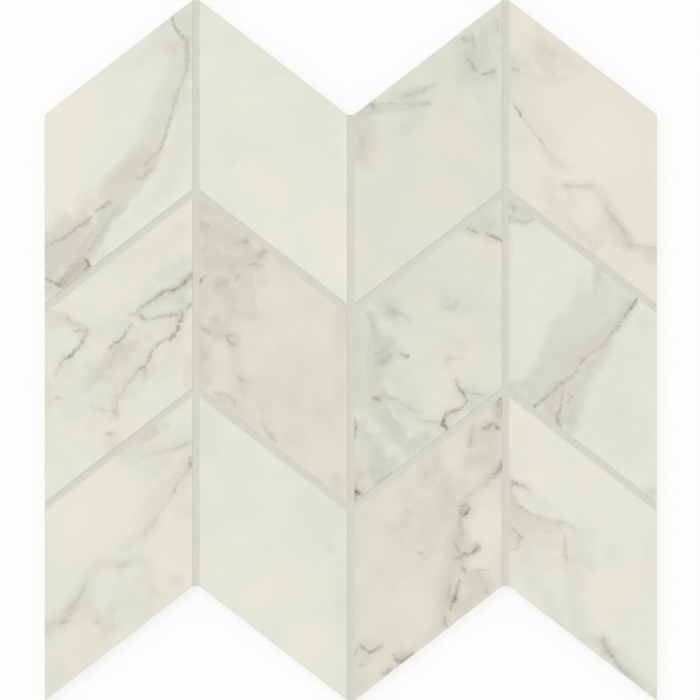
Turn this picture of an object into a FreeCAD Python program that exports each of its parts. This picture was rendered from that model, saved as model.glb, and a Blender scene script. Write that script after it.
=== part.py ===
"""Chevron mosaic sheet: rhomboid porcelain chips in upright columns, on a backing mesh, with filled joints.

Millimetres. +X runs across the columns, +Y up the wall and +Z out of the wall.
The origin is the middle of the sheet's outline, on the plane of its back.
"""

import FreeCAD
import Part

import math
import os

# Layout of the sheet
columns = 4
rows = 3

# One chip: two sides stand upright, the other two climb at the slant
chip_width = 72.8
chip_side = 93.3
chip_thickness = 9.0
slant_deg = 37.75
arris_bevel = 0.5

# Keying grooves pressed into a chip's back, with tapered walls
groove_width = 5.0
groove_depth = 0.7
groove_taper = 0.4
rib_width = 4.4

# Grout between the chips: it stops just under their eased edges, and its face is dished
joint_width = 3.4
grout_below_arris = 0.1
grout_dish = 0.35

# Glass-fibre mesh glued under the chips
mesh_thickness = 0.4
mesh_inset = 2.0
strand_width = 1.2
strands_per_column = 6

# Sizes that follow from the ones above
slant = math.radians(slant_deg)
rise = chip_width * math.tan(slant)
slanted_joint_height = joint_width / math.cos(slant)
column_pitch = chip_width + joint_width
row_pitch = chip_side + slanted_joint_height
sheet_width = columns * column_pitch - joint_width
column_height = rows * row_pitch - slanted_joint_height
sheet_height = column_height + rise
face_level = mesh_thickness + chip_thickness
grout_level = face_level - arris_bevel - grout_below_arris
strand_pitch = column_pitch / strands_per_column


def column_left(column):
    """Where the upright left side of a column's chips stands."""
    return -sheet_width / 2 + column * column_pitch


def climb(column):
    """+1 where a column's slanted sides climb to the right, -1 where they fall. Neighbours mirror each other."""
    return 1 if column % 2 == 0 else -1


def lower_edge(column, x):
    """Height of the slanted line along the foot of a column, at any x."""
    middle = column_left(column) + chip_width / 2
    return -sheet_height / 2 + rise / 2 + climb(column) * (x - middle) * math.tan(slant)


def rhomboid(column, left, right, bottom, top):
    """Flat face between two upright lines, from bottom to top above the foot of the column."""
    corners = [
        FreeCAD.Vector(left, lower_edge(column, left) + bottom, 0),
        FreeCAD.Vector(right, lower_edge(column, right) + bottom, 0),
        FreeCAD.Vector(right, lower_edge(column, right) + top, 0),
        FreeCAD.Vector(left, lower_edge(column, left) + top, 0),
    ]
    return Part.Face(Part.makePolygon(corners + corners[:1]))


def raised(face, low, high):
    """Prism over a flat face, from one level to another."""
    face = face.copy()
    face.translate(FreeCAD.Vector(0, 0, low))
    return face.extrude(FreeCAD.Vector(0, 0, high - low))


def ease_top(prism):
    """Grinds a small bevel along the arrises of a prism's top face."""
    top = max(prism.Faces, key=lambda face: face.CenterOfMass.z)
    return prism.makeChamfer(arris_bevel, top.Edges)


def keying_grooves():
    """Upright grooves under a chip whose left side is at x = 0, longer than the chip at both ends."""
    count = int((chip_width - rib_width) // (groove_width + rib_width))
    ribbed_width = count * (groove_width + rib_width) - rib_width
    margin = (chip_width - ribbed_width) / 2
    reach = sheet_height
    grooves = []
    for n in range(count):
        left = margin + n * (groove_width + rib_width)
        right = left + groove_width
        profile = [
            FreeCAD.Vector(left, -reach, mesh_thickness),
            FreeCAD.Vector(right, -reach, mesh_thickness),
            FreeCAD.Vector(right - groove_taper, -reach, mesh_thickness + groove_depth),
            FreeCAD.Vector(left + groove_taper, -reach, mesh_thickness + groove_depth),
        ]
        face = Part.Face(Part.makePolygon(profile + profile[:1]))
        grooves.append(face.extrude(FreeCAD.Vector(0, 2 * reach, 0)))
    return Part.makeCompound(grooves)


def chip(column, row):
    """One chip; row 0 is the lowest."""
    left = column_left(column)
    bottom = row * row_pitch
    face = rhomboid(column, left, left + chip_width, bottom, bottom + chip_side)
    blank = ease_top(raised(face, mesh_thickness, face_level))
    grooves = keying_grooves()
    grooves.translate(FreeCAD.Vector(left, 0, 0))
    return blank.cut(grooves).Solids[0]


def upright_joint(column):
    """Grout blank between a column and the next one, from chip corner to chip corner."""
    left = column_left(column) + chip_width
    foot = lower_edge(column, left)
    outline = Part.makePlane(joint_width, column_height, FreeCAD.Vector(left, foot, 0))
    return raised(outline, mesh_thickness, grout_level)


def slanted_joint(column, row):
    """Grout blank between a chip and the one above it."""
    left = column_left(column)
    bottom = row * row_pitch + chip_side
    band = rhomboid(column, left, left + chip_width, bottom, bottom + slanted_joint_height)
    return raised(band, mesh_thickness, grout_level)


def dish_radius():
    """Radius of the round tool that leaves a dish of the stated depth over the joint's width."""
    return (joint_width**2 / 4 + grout_dish**2) / (2 * grout_dish)


def dish_tool(middle, direction, length):
    """Round bar lying along a joint's middle line, low enough to dish its face."""
    radius = dish_radius()
    centre = FreeCAD.Vector(middle.x, middle.y, grout_level + radius - grout_dish)
    start = centre - direction * (length / 2)
    return Part.makeCylinder(radius, length, start, direction)


def upright_dish(column):
    """Dish along an upright joint, past both its ends."""
    x = column_left(column) + chip_width + joint_width / 2
    return dish_tool(FreeCAD.Vector(x, 0, 0), FreeCAD.Vector(0, 1, 0), 2 * sheet_height)


def slanted_dish(column, row):
    """Dish along a slanted joint, mitred on the middle lines of the upright joints beside it."""
    left = column_left(column) - joint_width / 2
    right = left + column_pitch
    middle_x = (left + right) / 2
    middle_y = lower_edge(column, middle_x) + row * row_pitch + chip_side + slanted_joint_height / 2
    direction = FreeCAD.Vector(math.cos(slant), climb(column) * math.sin(slant), 0)
    bar = dish_tool(FreeCAD.Vector(middle_x, middle_y, 0), direction, 2 * column_pitch / math.cos(slant))
    slab = Part.makeBox(
        column_pitch,
        3 * sheet_height,
        face_level + 2 * dish_radius(),
        FreeCAD.Vector(left, -1.5 * sheet_height, 0),
    )
    return bar.common(slab)


def joint_grout():
    """All the grout of the sheet, one connected piece."""
    between = range(columns - 1)
    slanted = [(column, row) for column in range(columns) for row in range(rows - 1)]
    blanks = [upright_joint(column) for column in between]
    blanks += [slanted_joint(column, row) for column, row in slanted]
    dishes = [upright_dish(column) for column in between]
    dishes += [slanted_dish(column, row) for column, row in slanted]
    network = blanks[0].fuse(blanks[1:]).removeSplitter()
    return network.cut(dishes).Solids[0]


def mesh_outline(column):
    """The mesh's share under one column, cut a little inside the sheet's outline."""
    left = column_left(column) - joint_width / 2
    right = left + column_pitch
    if column == 0:
        left += joint_width / 2 + mesh_inset
    if column == columns - 1:
        right -= joint_width / 2 + mesh_inset
    inset = mesh_inset / math.cos(slant)
    return rhomboid(column, left, right, inset, column_height - inset)


def mesh_cells(column):
    """The open cells between the strands under one column. Each upright strand stands off the column's sides."""
    cell = strand_pitch - strand_width
    left = column_left(column) - joint_width / 2
    half_count = math.ceil(sheet_height / 2 / strand_pitch) + 1
    cells = []
    for across in range(strands_per_column + 1):
        x = left + (across - 0.5) * strand_pitch + strand_width / 2
        for up in range(-half_count, half_count + 1):
            y = (up - 0.5) * strand_pitch + strand_width / 2
            cells.append(Part.makePlane(cell, cell, FreeCAD.Vector(x, y, 0)))
    return Part.makeCompound(cells)


def backing_mesh(column):
    """Strands under one column, fused where they cross. Cut ends that reach no crossing fall away."""
    strands = mesh_outline(column).cut(mesh_cells(column))
    net = max(strands.Faces, key=lambda face: face.Area)
    return raised(net, 0, mesh_thickness)


def sheet_nodes():
    """Every node of the sheet by name. Row 1 is the top row and column 1 is the left one."""
    nodes = {}
    for column in range(columns):
        for row in range(rows):
            nodes[f"chip_r{rows - row}_c{column + 1}"] = chip(column, row)
        nodes[f"backing_mesh_c{column + 1}"] = backing_mesh(column)
    nodes["joint_grout"] = joint_grout()
    return nodes


os.makedirs("parts", exist_ok=True)
for name, solid in sheet_nodes().items():
    solid.exportStep(f"parts/{name}.step")
    print(name, "valid" if solid.isValid() else "NOT VALID", solid.ShapeType, round(solid.Volume), "mm3")
print(f"sheet {sheet_width:.1f} x {sheet_height:.1f} x {face_level:.1f} mm, column pitch {column_pitch:.1f} mm")
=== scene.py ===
# %% [markdown]
# # A chevron mosaic sheet
# The object is a wall tile sold as a sheet: rhomboid porcelain chips with a printed marble look, glued to a
# glass-fibre mesh and grouted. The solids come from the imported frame. This script gives them their looks.
# The frame is loaded first, so that every piece made here goes exactly where its solid is.

# %% Load the frame
import math

import bpy
import numpy as np
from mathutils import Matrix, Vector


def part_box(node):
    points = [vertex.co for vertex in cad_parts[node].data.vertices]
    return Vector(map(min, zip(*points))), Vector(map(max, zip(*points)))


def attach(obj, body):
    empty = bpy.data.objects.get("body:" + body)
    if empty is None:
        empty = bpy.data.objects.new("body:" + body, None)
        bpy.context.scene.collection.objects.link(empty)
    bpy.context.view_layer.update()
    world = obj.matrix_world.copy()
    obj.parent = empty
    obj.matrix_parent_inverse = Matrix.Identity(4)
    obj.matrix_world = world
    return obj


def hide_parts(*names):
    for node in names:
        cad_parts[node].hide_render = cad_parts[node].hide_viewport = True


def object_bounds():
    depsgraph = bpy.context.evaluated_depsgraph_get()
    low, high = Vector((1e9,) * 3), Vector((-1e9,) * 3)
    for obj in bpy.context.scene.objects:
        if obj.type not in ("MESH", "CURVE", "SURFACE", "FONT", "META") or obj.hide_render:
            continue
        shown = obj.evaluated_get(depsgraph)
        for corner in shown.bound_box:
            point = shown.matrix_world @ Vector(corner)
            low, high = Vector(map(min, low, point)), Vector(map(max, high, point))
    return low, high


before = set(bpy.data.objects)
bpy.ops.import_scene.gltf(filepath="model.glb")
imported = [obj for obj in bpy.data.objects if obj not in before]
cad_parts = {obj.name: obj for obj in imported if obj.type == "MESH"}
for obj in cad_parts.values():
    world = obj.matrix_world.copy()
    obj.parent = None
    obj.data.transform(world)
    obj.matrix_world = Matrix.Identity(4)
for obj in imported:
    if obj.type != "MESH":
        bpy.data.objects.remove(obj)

cad_box = [[float(v) for v in corner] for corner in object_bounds()]
print("solids span", [round(1000 * (high - low), 2) for low, high in zip(*cad_box)], "mm")

# %% [markdown]
# ## Reading the layout from the frame
# Every length of the pattern can be measured on the boxes of the solids: one chip's box gives the chip's width,
# two neighbours give the pitch, and the difference is the joint. Only the slant has to be stated, because
# a box doesn't show it. Reading sizes this way keeps the looks in step with the solids.

# %% Measure the layout
MM = 0.001
SLANT = math.radians(37.75)
COLUMNS, ROWS = 4, 3


def chip_node(row, column):
    """Name of the chip in a row from the top and a column from the left, both counted from 1."""
    return f"chip_r{row}_c{column}"


first_low, first_high = np.array(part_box(chip_node(1, 1)))
chip_width = first_high[0] - first_low[0]
rise = chip_width * math.tan(SLANT)
chip_side = first_high[1] - first_low[1] - rise
column_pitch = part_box(chip_node(1, 2))[0][0] - first_low[0]
row_pitch = first_low[1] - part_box(chip_node(2, 1))[0][1]
joint_width = column_pitch - chip_width
mesh_top, face_level = first_low[2], first_high[2]
print(f"chip {chip_width / MM:.1f} wide, side {chip_side / MM:.1f}, joint {joint_width / MM:.1f},",
      f"row pitch {row_pitch / MM:.1f} mm")

# %% [markdown]
# ## Camera
# The photograph looks straight down on the sheet with no visible perspective, and the sheet fills its height.
# A long lens from nearly two metres does the same. The view's width follows from the scale of the photograph:
# a column pitch of 76.2 mm covers 154.8 of its 700 pixels. The middle of the sheet isn't quite in the middle of
# the picture, so the camera stands aside by the same few tenths of a millimetre.

# %% Point the camera
PHOTO_PIXELS = 700
PITCH_PIXELS = 154.8
SHEET_MIDDLE_PIXELS = (350.75, 350.35)  # from the left and from the top
LENS_MM, SENSOR_MM = 200.0, 36.0
VIEW_END = 20.0

metres_per_pixel = column_pitch / PITCH_PIXELS
view_width = PHOTO_PIXELS * metres_per_pixel
camera_data = bpy.data.cameras.new("straight_down")
camera_data.lens = LENS_MM
camera_data.sensor_width = SENSOR_MM
camera_data.clip_end = VIEW_END
camera = bpy.data.objects.new("straight_down", camera_data)
camera.location = (
    (PHOTO_PIXELS / 2 - SHEET_MIDDLE_PIXELS[0]) * metres_per_pixel,
    (SHEET_MIDDLE_PIXELS[1] - PHOTO_PIXELS / 2) * metres_per_pixel,
    face_level + view_width * LENS_MM / SENSOR_MM,
)
bpy.context.scene.collection.objects.link(camera)
bpy.context.scene.camera = camera
bpy.context.scene.view_settings.view_transform = "Standard"
print(f"camera {camera.location.z:.3f} m up, view {view_width / MM:.1f} mm wide")

# %% [markdown]
# ## Building node trees
# Every finish below is a tree of shader nodes. A few small helpers keep that readable. The first makes any node and
# fills its sockets, each from a value or from another node's output. The next ones make the node for one sum on
# numbers, and a material that has nothing but its shader.


# %% Make nodes and materials
def fill(tree, socket, value):
    """Links an output to a socket, or writes a value into it."""
    if isinstance(value, bpy.types.NodeSocket):
        tree.links.new(value, socket)
    else:
        socket.default_value = value


def add(tree, kind, inputs=None, **settings):
    """Makes a node. inputs maps a socket's name or number to a value or to an output to link."""
    node = tree.nodes.new(kind)
    for key, value in settings.items():
        setattr(node, key, value)
    for key, value in (inputs or {}).items():
        fill(tree, node.inputs[key], value)
    return node


def math_node(tree, operation, a, b=0.0, c=0.0):
    """One sum on numbers, and its output."""
    return add(tree, "ShaderNodeMath", {0: a, 1: b, 2: c}, operation=operation).outputs[0]


def new_material(name):
    """Material with a bare Principled shader."""
    material = bpy.data.materials.new(name)
    material.use_nodes = True
    tree = material.node_tree
    tree.nodes.clear()
    shader = tree.nodes.new("ShaderNodeBsdfPrincipled")
    out = tree.nodes.new("ShaderNodeOutputMaterial")
    tree.links.new(shader.outputs[0], out.inputs["Surface"])
    return material, tree, shader


# %% [markdown]
# ## Floor
# A sheet like this is photographed flat on a white sweep. A floor lit as the object is would come out grey, and more
# light would spoil the object, so the floor is whitened only where it is looked at: for the camera, and for glossy
# and glassy surfaces, it is a mix with plain white. The share that isn't mixed keeps a soft trace of the shadow.

# %% Make the floor
FLOOR_SIZE = 6.0
FLOOR_TONE = (0.99, 0.99, 0.99, 1)
FLOOR_ROUGHNESS = 0.9
WHITE = (1, 1, 1, 1)
SHADOW_KEPT = 0.35


def looked_at(tree):
    """1 for the camera, for reflections and through glass, else 0: the largest of three Light Path outputs."""
    path = tree.nodes.new("ShaderNodeLightPath")
    seen = math_node(tree, "MAXIMUM", path.outputs["Is Camera Ray"], path.outputs["Is Glossy Ray"])
    return math_node(tree, "MAXIMUM", seen, path.outputs["Is Transmission Ray"])


floor_mesh = bpy.data.meshes.new("floor")
half = FLOOR_SIZE / 2
floor_mesh.from_pydata([(-half, -half, 0), (half, -half, 0), (half, half, 0), (-half, half, 0)], [], [(0, 1, 2, 3)])
floor = bpy.data.objects.new("floor", floor_mesh)
bpy.context.scene.collection.objects.link(floor)
floor_material, tree, shader = new_material("white sweep")
shader.inputs["Base Color"].default_value = FLOOR_TONE
shader.inputs["Roughness"].default_value = FLOOR_ROUGHNESS
shader.inputs["Specular IOR Level"].default_value = 0.0
whitening = math_node(tree, "MULTIPLY", looked_at(tree), 1 - SHADOW_KEPT)
glow = add(tree, "ShaderNodeEmission", {"Color": WHITE, "Strength": 1.0})
mixed = add(tree, "ShaderNodeMixShader", {0: whitening, 1: shader.outputs[0], 2: glow.outputs[0]})
tree.links.new(mixed.outputs[0], tree.nodes["Material Output"].inputs["Surface"])
floor_mesh.materials.append(floor_material)
print("floor", FLOOR_SIZE, "m wide, keeps", SHADOW_KEPT, "of the shadow")

# %% [markdown]
# ## Light
# Studio light for a flat sheet is even. An even world gives most of it, and one broad soft lamp from the upper left
# shows the eased edges and the dished joints. Together they light a level surface so that a colour renders as it is
# written. Like the floor, the world is plain white where it is looked at, and a little darker where it lights.

# %% Make the world and the lamp
WORLD_LEVEL = 0.79
LAMP_LEVEL = 0.18
LAMP_SPREAD_DEG = 45
LAMP_LEAN_DEG = 20
LAMP_BEARING_DEG = 45

world = bpy.data.worlds.new("even light")
bpy.context.scene.world = world
world.use_nodes = True
backdrop = world.node_tree.nodes["Background"]
level = math_node(world.node_tree, "MULTIPLY_ADD", looked_at(world.node_tree), 1 - WORLD_LEVEL, WORLD_LEVEL)
world.node_tree.links.new(level, backdrop.inputs["Strength"])
backdrop.inputs["Color"].default_value = WHITE

lamp_data = bpy.data.lights.new("softbox", "SUN")
lamp_data.angle = math.radians(LAMP_SPREAD_DEG)
lamp_data.energy = LAMP_LEVEL * math.pi / math.cos(math.radians(LAMP_LEAN_DEG))
lamp = bpy.data.objects.new("softbox", lamp_data)
lamp.rotation_euler = (0, math.radians(-LAMP_LEAN_DEG), math.radians(-LAMP_BEARING_DEG))
bpy.context.scene.collection.objects.link(lamp)
print("world", WORLD_LEVEL, "lamp", LAMP_LEVEL)

# %% [markdown]
# ## Drawing with a distance
# Marble veins can come from noise alone, but then no chip has the veins it has in the photograph. Here each vein and
# each cloud is laid down like a brush stroke. A stroke is a straight piece with a width and a strength at each end.
# The shader measures how far a point of the face is from the stroke's middle line, divides by the stroke's reach
# there, and fades the ink out towards 1. Strokes are chained: each passes on the larger of its own ink and the ink
# so far, so pieces that share an end join without a seam.
#
# A second fade, wider than the first, is passed on beside the ink. It is the halo, the faint stain that a vein has
# on both sides. Both fades are smooth steps, which stay between 0 and 1 by themselves, so clamp stays off: it
# would add a node to every stroke, and in a long chain the shader then runs out of room for its values and turns
# black.


# %% Helpers for places and fades
def vector_node(tree, operation, a, b=(0, 0, 0)):
    """One sum on vectors, and its vector output."""
    return add(tree, "ShaderNodeVectorMath", {0: a, 1: b}, operation=operation).outputs["Vector"]


def measured(tree, operation, a, b):
    """One sum on vectors that gives a number, such as a distance."""
    return add(tree, "ShaderNodeVectorMath", {0: a, 1: b}, operation=operation).outputs["Value"]


def scaled(tree, vector, factor):
    """Vector or colour times a number."""
    return add(tree, "ShaderNodeVectorMath", {0: vector, "Scale": factor}, operation="SCALE").outputs["Vector"]


def within_one(tree, value):
    """Value held between 0 and 1."""
    return add(tree, "ShaderNodeClamp", {0: value}).outputs[0]


def smooth_step(tree, value, start, end, low=0.0, high=1.0, clamp=True):
    """Goes from low at start to high at end along 3 s^2 - 2 s^3, where s is the share of the way."""
    return add(
        tree,
        "ShaderNodeMapRange",
        {"Value": value, "From Min": start, "From Max": end, "To Min": low, "To Max": high},
        interpolation_type="SMOOTHSTEP",
        clamp=clamp,
    ).outputs["Result"]


def new_group(name, inputs, outputs):
    """Empty node group. inputs and outputs map names to socket kinds: Float, Vector or Color."""
    tree = bpy.data.node_groups.new(name, "ShaderNodeTree")
    for direction, sockets in (("INPUT", inputs), ("OUTPUT", outputs)):
        for socket_name, kind in sockets.items():
            tree.interface.new_socket(socket_name, in_out=direction, socket_type="NodeSocket" + kind)
    entry = tree.nodes.new("NodeGroupInput")
    leave = tree.nodes.new("NodeGroupOutput")
    return tree, entry.outputs, leave.inputs


# %% The stroke group
HALO_REACH = 2.6

stroke, given, result = new_group(
    "Brush stroke",
    {
        "Point": "Vector", "Wear": "Float", "Start": "Vector", "End": "Vector",
        "Start reach": "Float", "End reach": "Float", "Start ink": "Float", "End ink": "Float", "Firm": "Float",
        "Ink before": "Float", "Halo before": "Float",
    },
    {"Ink": "Float", "Halo": "Float"},
)
along = vector_node(stroke, "SUBTRACT", given["End"], given["Start"])
away = vector_node(stroke, "SUBTRACT", given["Point"], given["Start"])
length_squared = measured(stroke, "DOT_PRODUCT", along, along)
reach_along = measured(stroke, "DOT_PRODUCT", away, along)
share = within_one(stroke, math_node(stroke, "DIVIDE", reach_along, length_squared))
nearest = scaled(stroke, along, share)
distance = measured(stroke, "DISTANCE", away, nearest)
reach_change = math_node(stroke, "SUBTRACT", given["End reach"], given["Start reach"])
reach = math_node(stroke, "MULTIPLY_ADD", share, reach_change, given["Start reach"])
relative = math_node(stroke, "ADD", math_node(stroke, "DIVIDE", distance, reach), given["Wear"])
fade = smooth_step(stroke, relative, given["Firm"], 1.0, 1.0, 0.0, clamp=False)
ink_change = math_node(stroke, "SUBTRACT", given["End ink"], given["Start ink"])
strength = math_node(stroke, "MULTIPLY_ADD", share, ink_change, given["Start ink"])
own_ink = math_node(stroke, "MULTIPLY", fade, strength)
stroke.links.new(math_node(stroke, "MAXIMUM", given["Ink before"], own_ink), result["Ink"])
wide_fade = smooth_step(stroke, relative, 0.0, HALO_REACH, 1.0, 0.0, clamp=False)
own_halo = math_node(stroke, "MULTIPLY", wide_fade, strength)
stroke.links.new(math_node(stroke, "MAXIMUM", given["Halo before"], own_halo), result["Halo"])
print("group:", stroke.name, "with a halo", HALO_REACH, "times as wide")

# %% [markdown]
# ## Bending the space
# No vein is ruled, so the space is bent before a stroke is measured in it: a slow noise lets a stroke drift, and a
# quick one ripples it. A third noise wears the edge of a stroke a little more or less from place to place. Noise has
# its middle at 0.5, and these shifts go both ways, so 0.5 is taken off each. The height is dropped, so the print
# runs straight down over the eased edge.

# %% The bent space and wear groups
DRIFT_SCALE, RIPPLE_SCALE = 0.12, 0.55  # noise cells per mm


def noise(tree, point, scale, detail=2.0, roughness=0.5):
    """Noise texture node. detail is how many finer layers it has, and roughness how strong each is."""
    return add(tree, "ShaderNodeTexNoise",
               {"Vector": point, "Scale": scale, "Detail": detail, "Roughness": roughness})


def shift(tree, point, scale, detail, size):
    """Offset that a noise gives to a point: its colour less 0.5, times a size in mm."""
    middled = vector_node(tree, "SUBTRACT", noise(tree, point, scale, detail).outputs["Color"], (0.5, 0.5, 0.5))
    return scaled(tree, middled, size)


bent_space, given, result = new_group("Bent space", {"Drift": "Float", "Ripple": "Float"}, {"Point": "Vector"})
here = bent_space.nodes.new("ShaderNodeTexCoord").outputs["Object"]
flat = vector_node(bent_space, "MULTIPLY", here, (1 / MM, 1 / MM, 0))
slow = shift(bent_space, flat, DRIFT_SCALE, 1.0, given["Drift"])
quick = shift(bent_space, flat, RIPPLE_SCALE, 2.0, given["Ripple"])
moved = vector_node(bent_space, "ADD", vector_node(bent_space, "ADD", flat, slow), quick)
bent_space.links.new(vector_node(bent_space, "MULTIPLY", moved, (1, 1, 0)), result["Point"])

wearing, given, result = new_group("Wear", {"Point": "Vector", "Wear": "Float", "Scale": "Float"}, {"Wear": "Float"})
worn = noise(wearing, given["Point"], given["Scale"], detail=3.0, roughness=0.6).outputs["Fac"]
worn = math_node(wearing, "SUBTRACT", worn, 0.5)
wearing.links.new(math_node(wearing, "MULTIPLY", worn, given["Wear"]), result["Wear"])
print("groups:", bent_space.name, "and", wearing.name)

# %% [markdown]
# ## Ink over the ground
# The print has a few inks: a cream and a pale one that lighten, a warm grey, a cool grey, a bluish grey, a beige and
# a pinkish one for the clouds, and an olive brown for the veins, over an olive grey for their halos. Each ink is
# mixed over the print so far by the strength of its strokes. Grain breaks the strength up, fine and strong for
# veins, which look beaded, and broad and mild for clouds.


# %% The ink group
def blend(tree, factor, a, b, blend_type="MIX"):
    """Mix of two colours."""
    mixer = add(tree, "ShaderNodeMix", data_type="RGBA", blend_type=blend_type)
    for socket, value in ((mixer.inputs[0], factor), (mixer.inputs[6], a), (mixer.inputs[7], b)):
        fill(tree, socket, value)
    return mixer.outputs[2]


inking, given, result = new_group(
    "Ink over print",
    {"Point": "Vector", "Print": "Color", "Ink": "Float", "Tone": "Color", "Grain": "Float", "Grain scale": "Float"},
    {"Print": "Color"},
)
grains = noise(inking, given["Point"], given["Grain scale"], detail=4.0, roughness=0.6).outputs["Fac"]
swing = math_node(inking, "SUBTRACT", grains, 0.5)
swing = math_node(inking, "MULTIPLY", swing, given["Grain"])
factor = within_one(inking, math_node(inking, "MULTIPLY_ADD", given["Ink"], swing, given["Ink"]))
inking.links.new(blend(inking, factor, given["Print"], given["Tone"]), result["Print"])
print("group:", inking.name)

# %% [markdown]
# ## The ground under the ink
# Printed marble is never one flat tone. The ground drifts between a warmer and a cooler version of its tone, a fine
# mottle lightens and darkens it by a few hundredths, and broad clouds do the same, more on some chips.

# %% The ground group
WARMER, COOLER = (1.014, 1.004, 0.992, 1), (0.984, 0.994, 0.994, 1)
DRIFT_BAND = (0.35, 0.65)
MOTTLE_SWING = 0.05
CLOUD_GAIN = 4.0

ground, given, result = new_group(
    "Marble ground", {"Point": "Vector", "Tone": "Color", "Clouding": "Float"}, {"Print": "Color"}
)
drift = smooth_step(ground, noise(ground, given["Point"], scale=0.03).outputs["Fac"], *DRIFT_BAND)
warmer = blend(ground, 1.0, given["Tone"], WARMER, "MULTIPLY")
cooler = blend(ground, 1.0, given["Tone"], COOLER, "MULTIPLY")
drifted = blend(ground, drift, cooler, warmer)
mottle = noise(ground, given["Point"], scale=0.35, detail=3.0, roughness=0.6).outputs["Fac"]
mottle = math_node(ground, "MULTIPLY_ADD", mottle, MOTTLE_SWING, 1 - MOTTLE_SWING / 2)
clouds = noise(ground, given["Point"], scale=0.06, detail=3.0, roughness=0.6).outputs["Fac"]
clouds = math_node(ground, "MULTIPLY", math_node(ground, "SUBTRACT", clouds, 0.5), given["Clouding"])
mottle = math_node(ground, "MULTIPLY_ADD", clouds, CLOUD_GAIN, mottle)
ground.links.new(scaled(ground, drifted, mottle), result["Print"])
print("group:", ground.name)

# %% [markdown]
# ## The strokes of each chip
# These are read off the photograph, in millimetres on the sheet, as one would note where to lay each
# vein with a brush. A point of a stroke is its place across and up, its reach, and its ink from 0 to 1.
# soft strokes fade from their middle line, and firm ones keep their ink to half their reach, for clouds with an edge.
# A design is a ground tone and the strokes of each ink, and one cell below holds it for each chip.


# %% Kinds of stroke
def soft(*points):
    """Stroke that fades out from its middle line."""
    return 0.0, points


def firm(*points):
    """Stroke that keeps its ink over the middle half of its reach."""
    return 0.5, points


designs = {}


def design_chip(row, column, ground_tone, clouding, **inks):
    """Keeps a chip's ground tone, how strong its clouds are, and a list of strokes for each ink."""
    designs[chip_node(row, column)] = ground_tone, clouding, inks
    print(chip_node(row, column), "has", sum(len(strokes) for strokes in inks.values()), "strokes")


# %% [markdown]
# ### Row 1, column 1
# A warm grey river comes down from the top right corner and ends in a stained patch at the lower left, whose
# rim is dark. A thin broken vein runs down with it.

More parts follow.
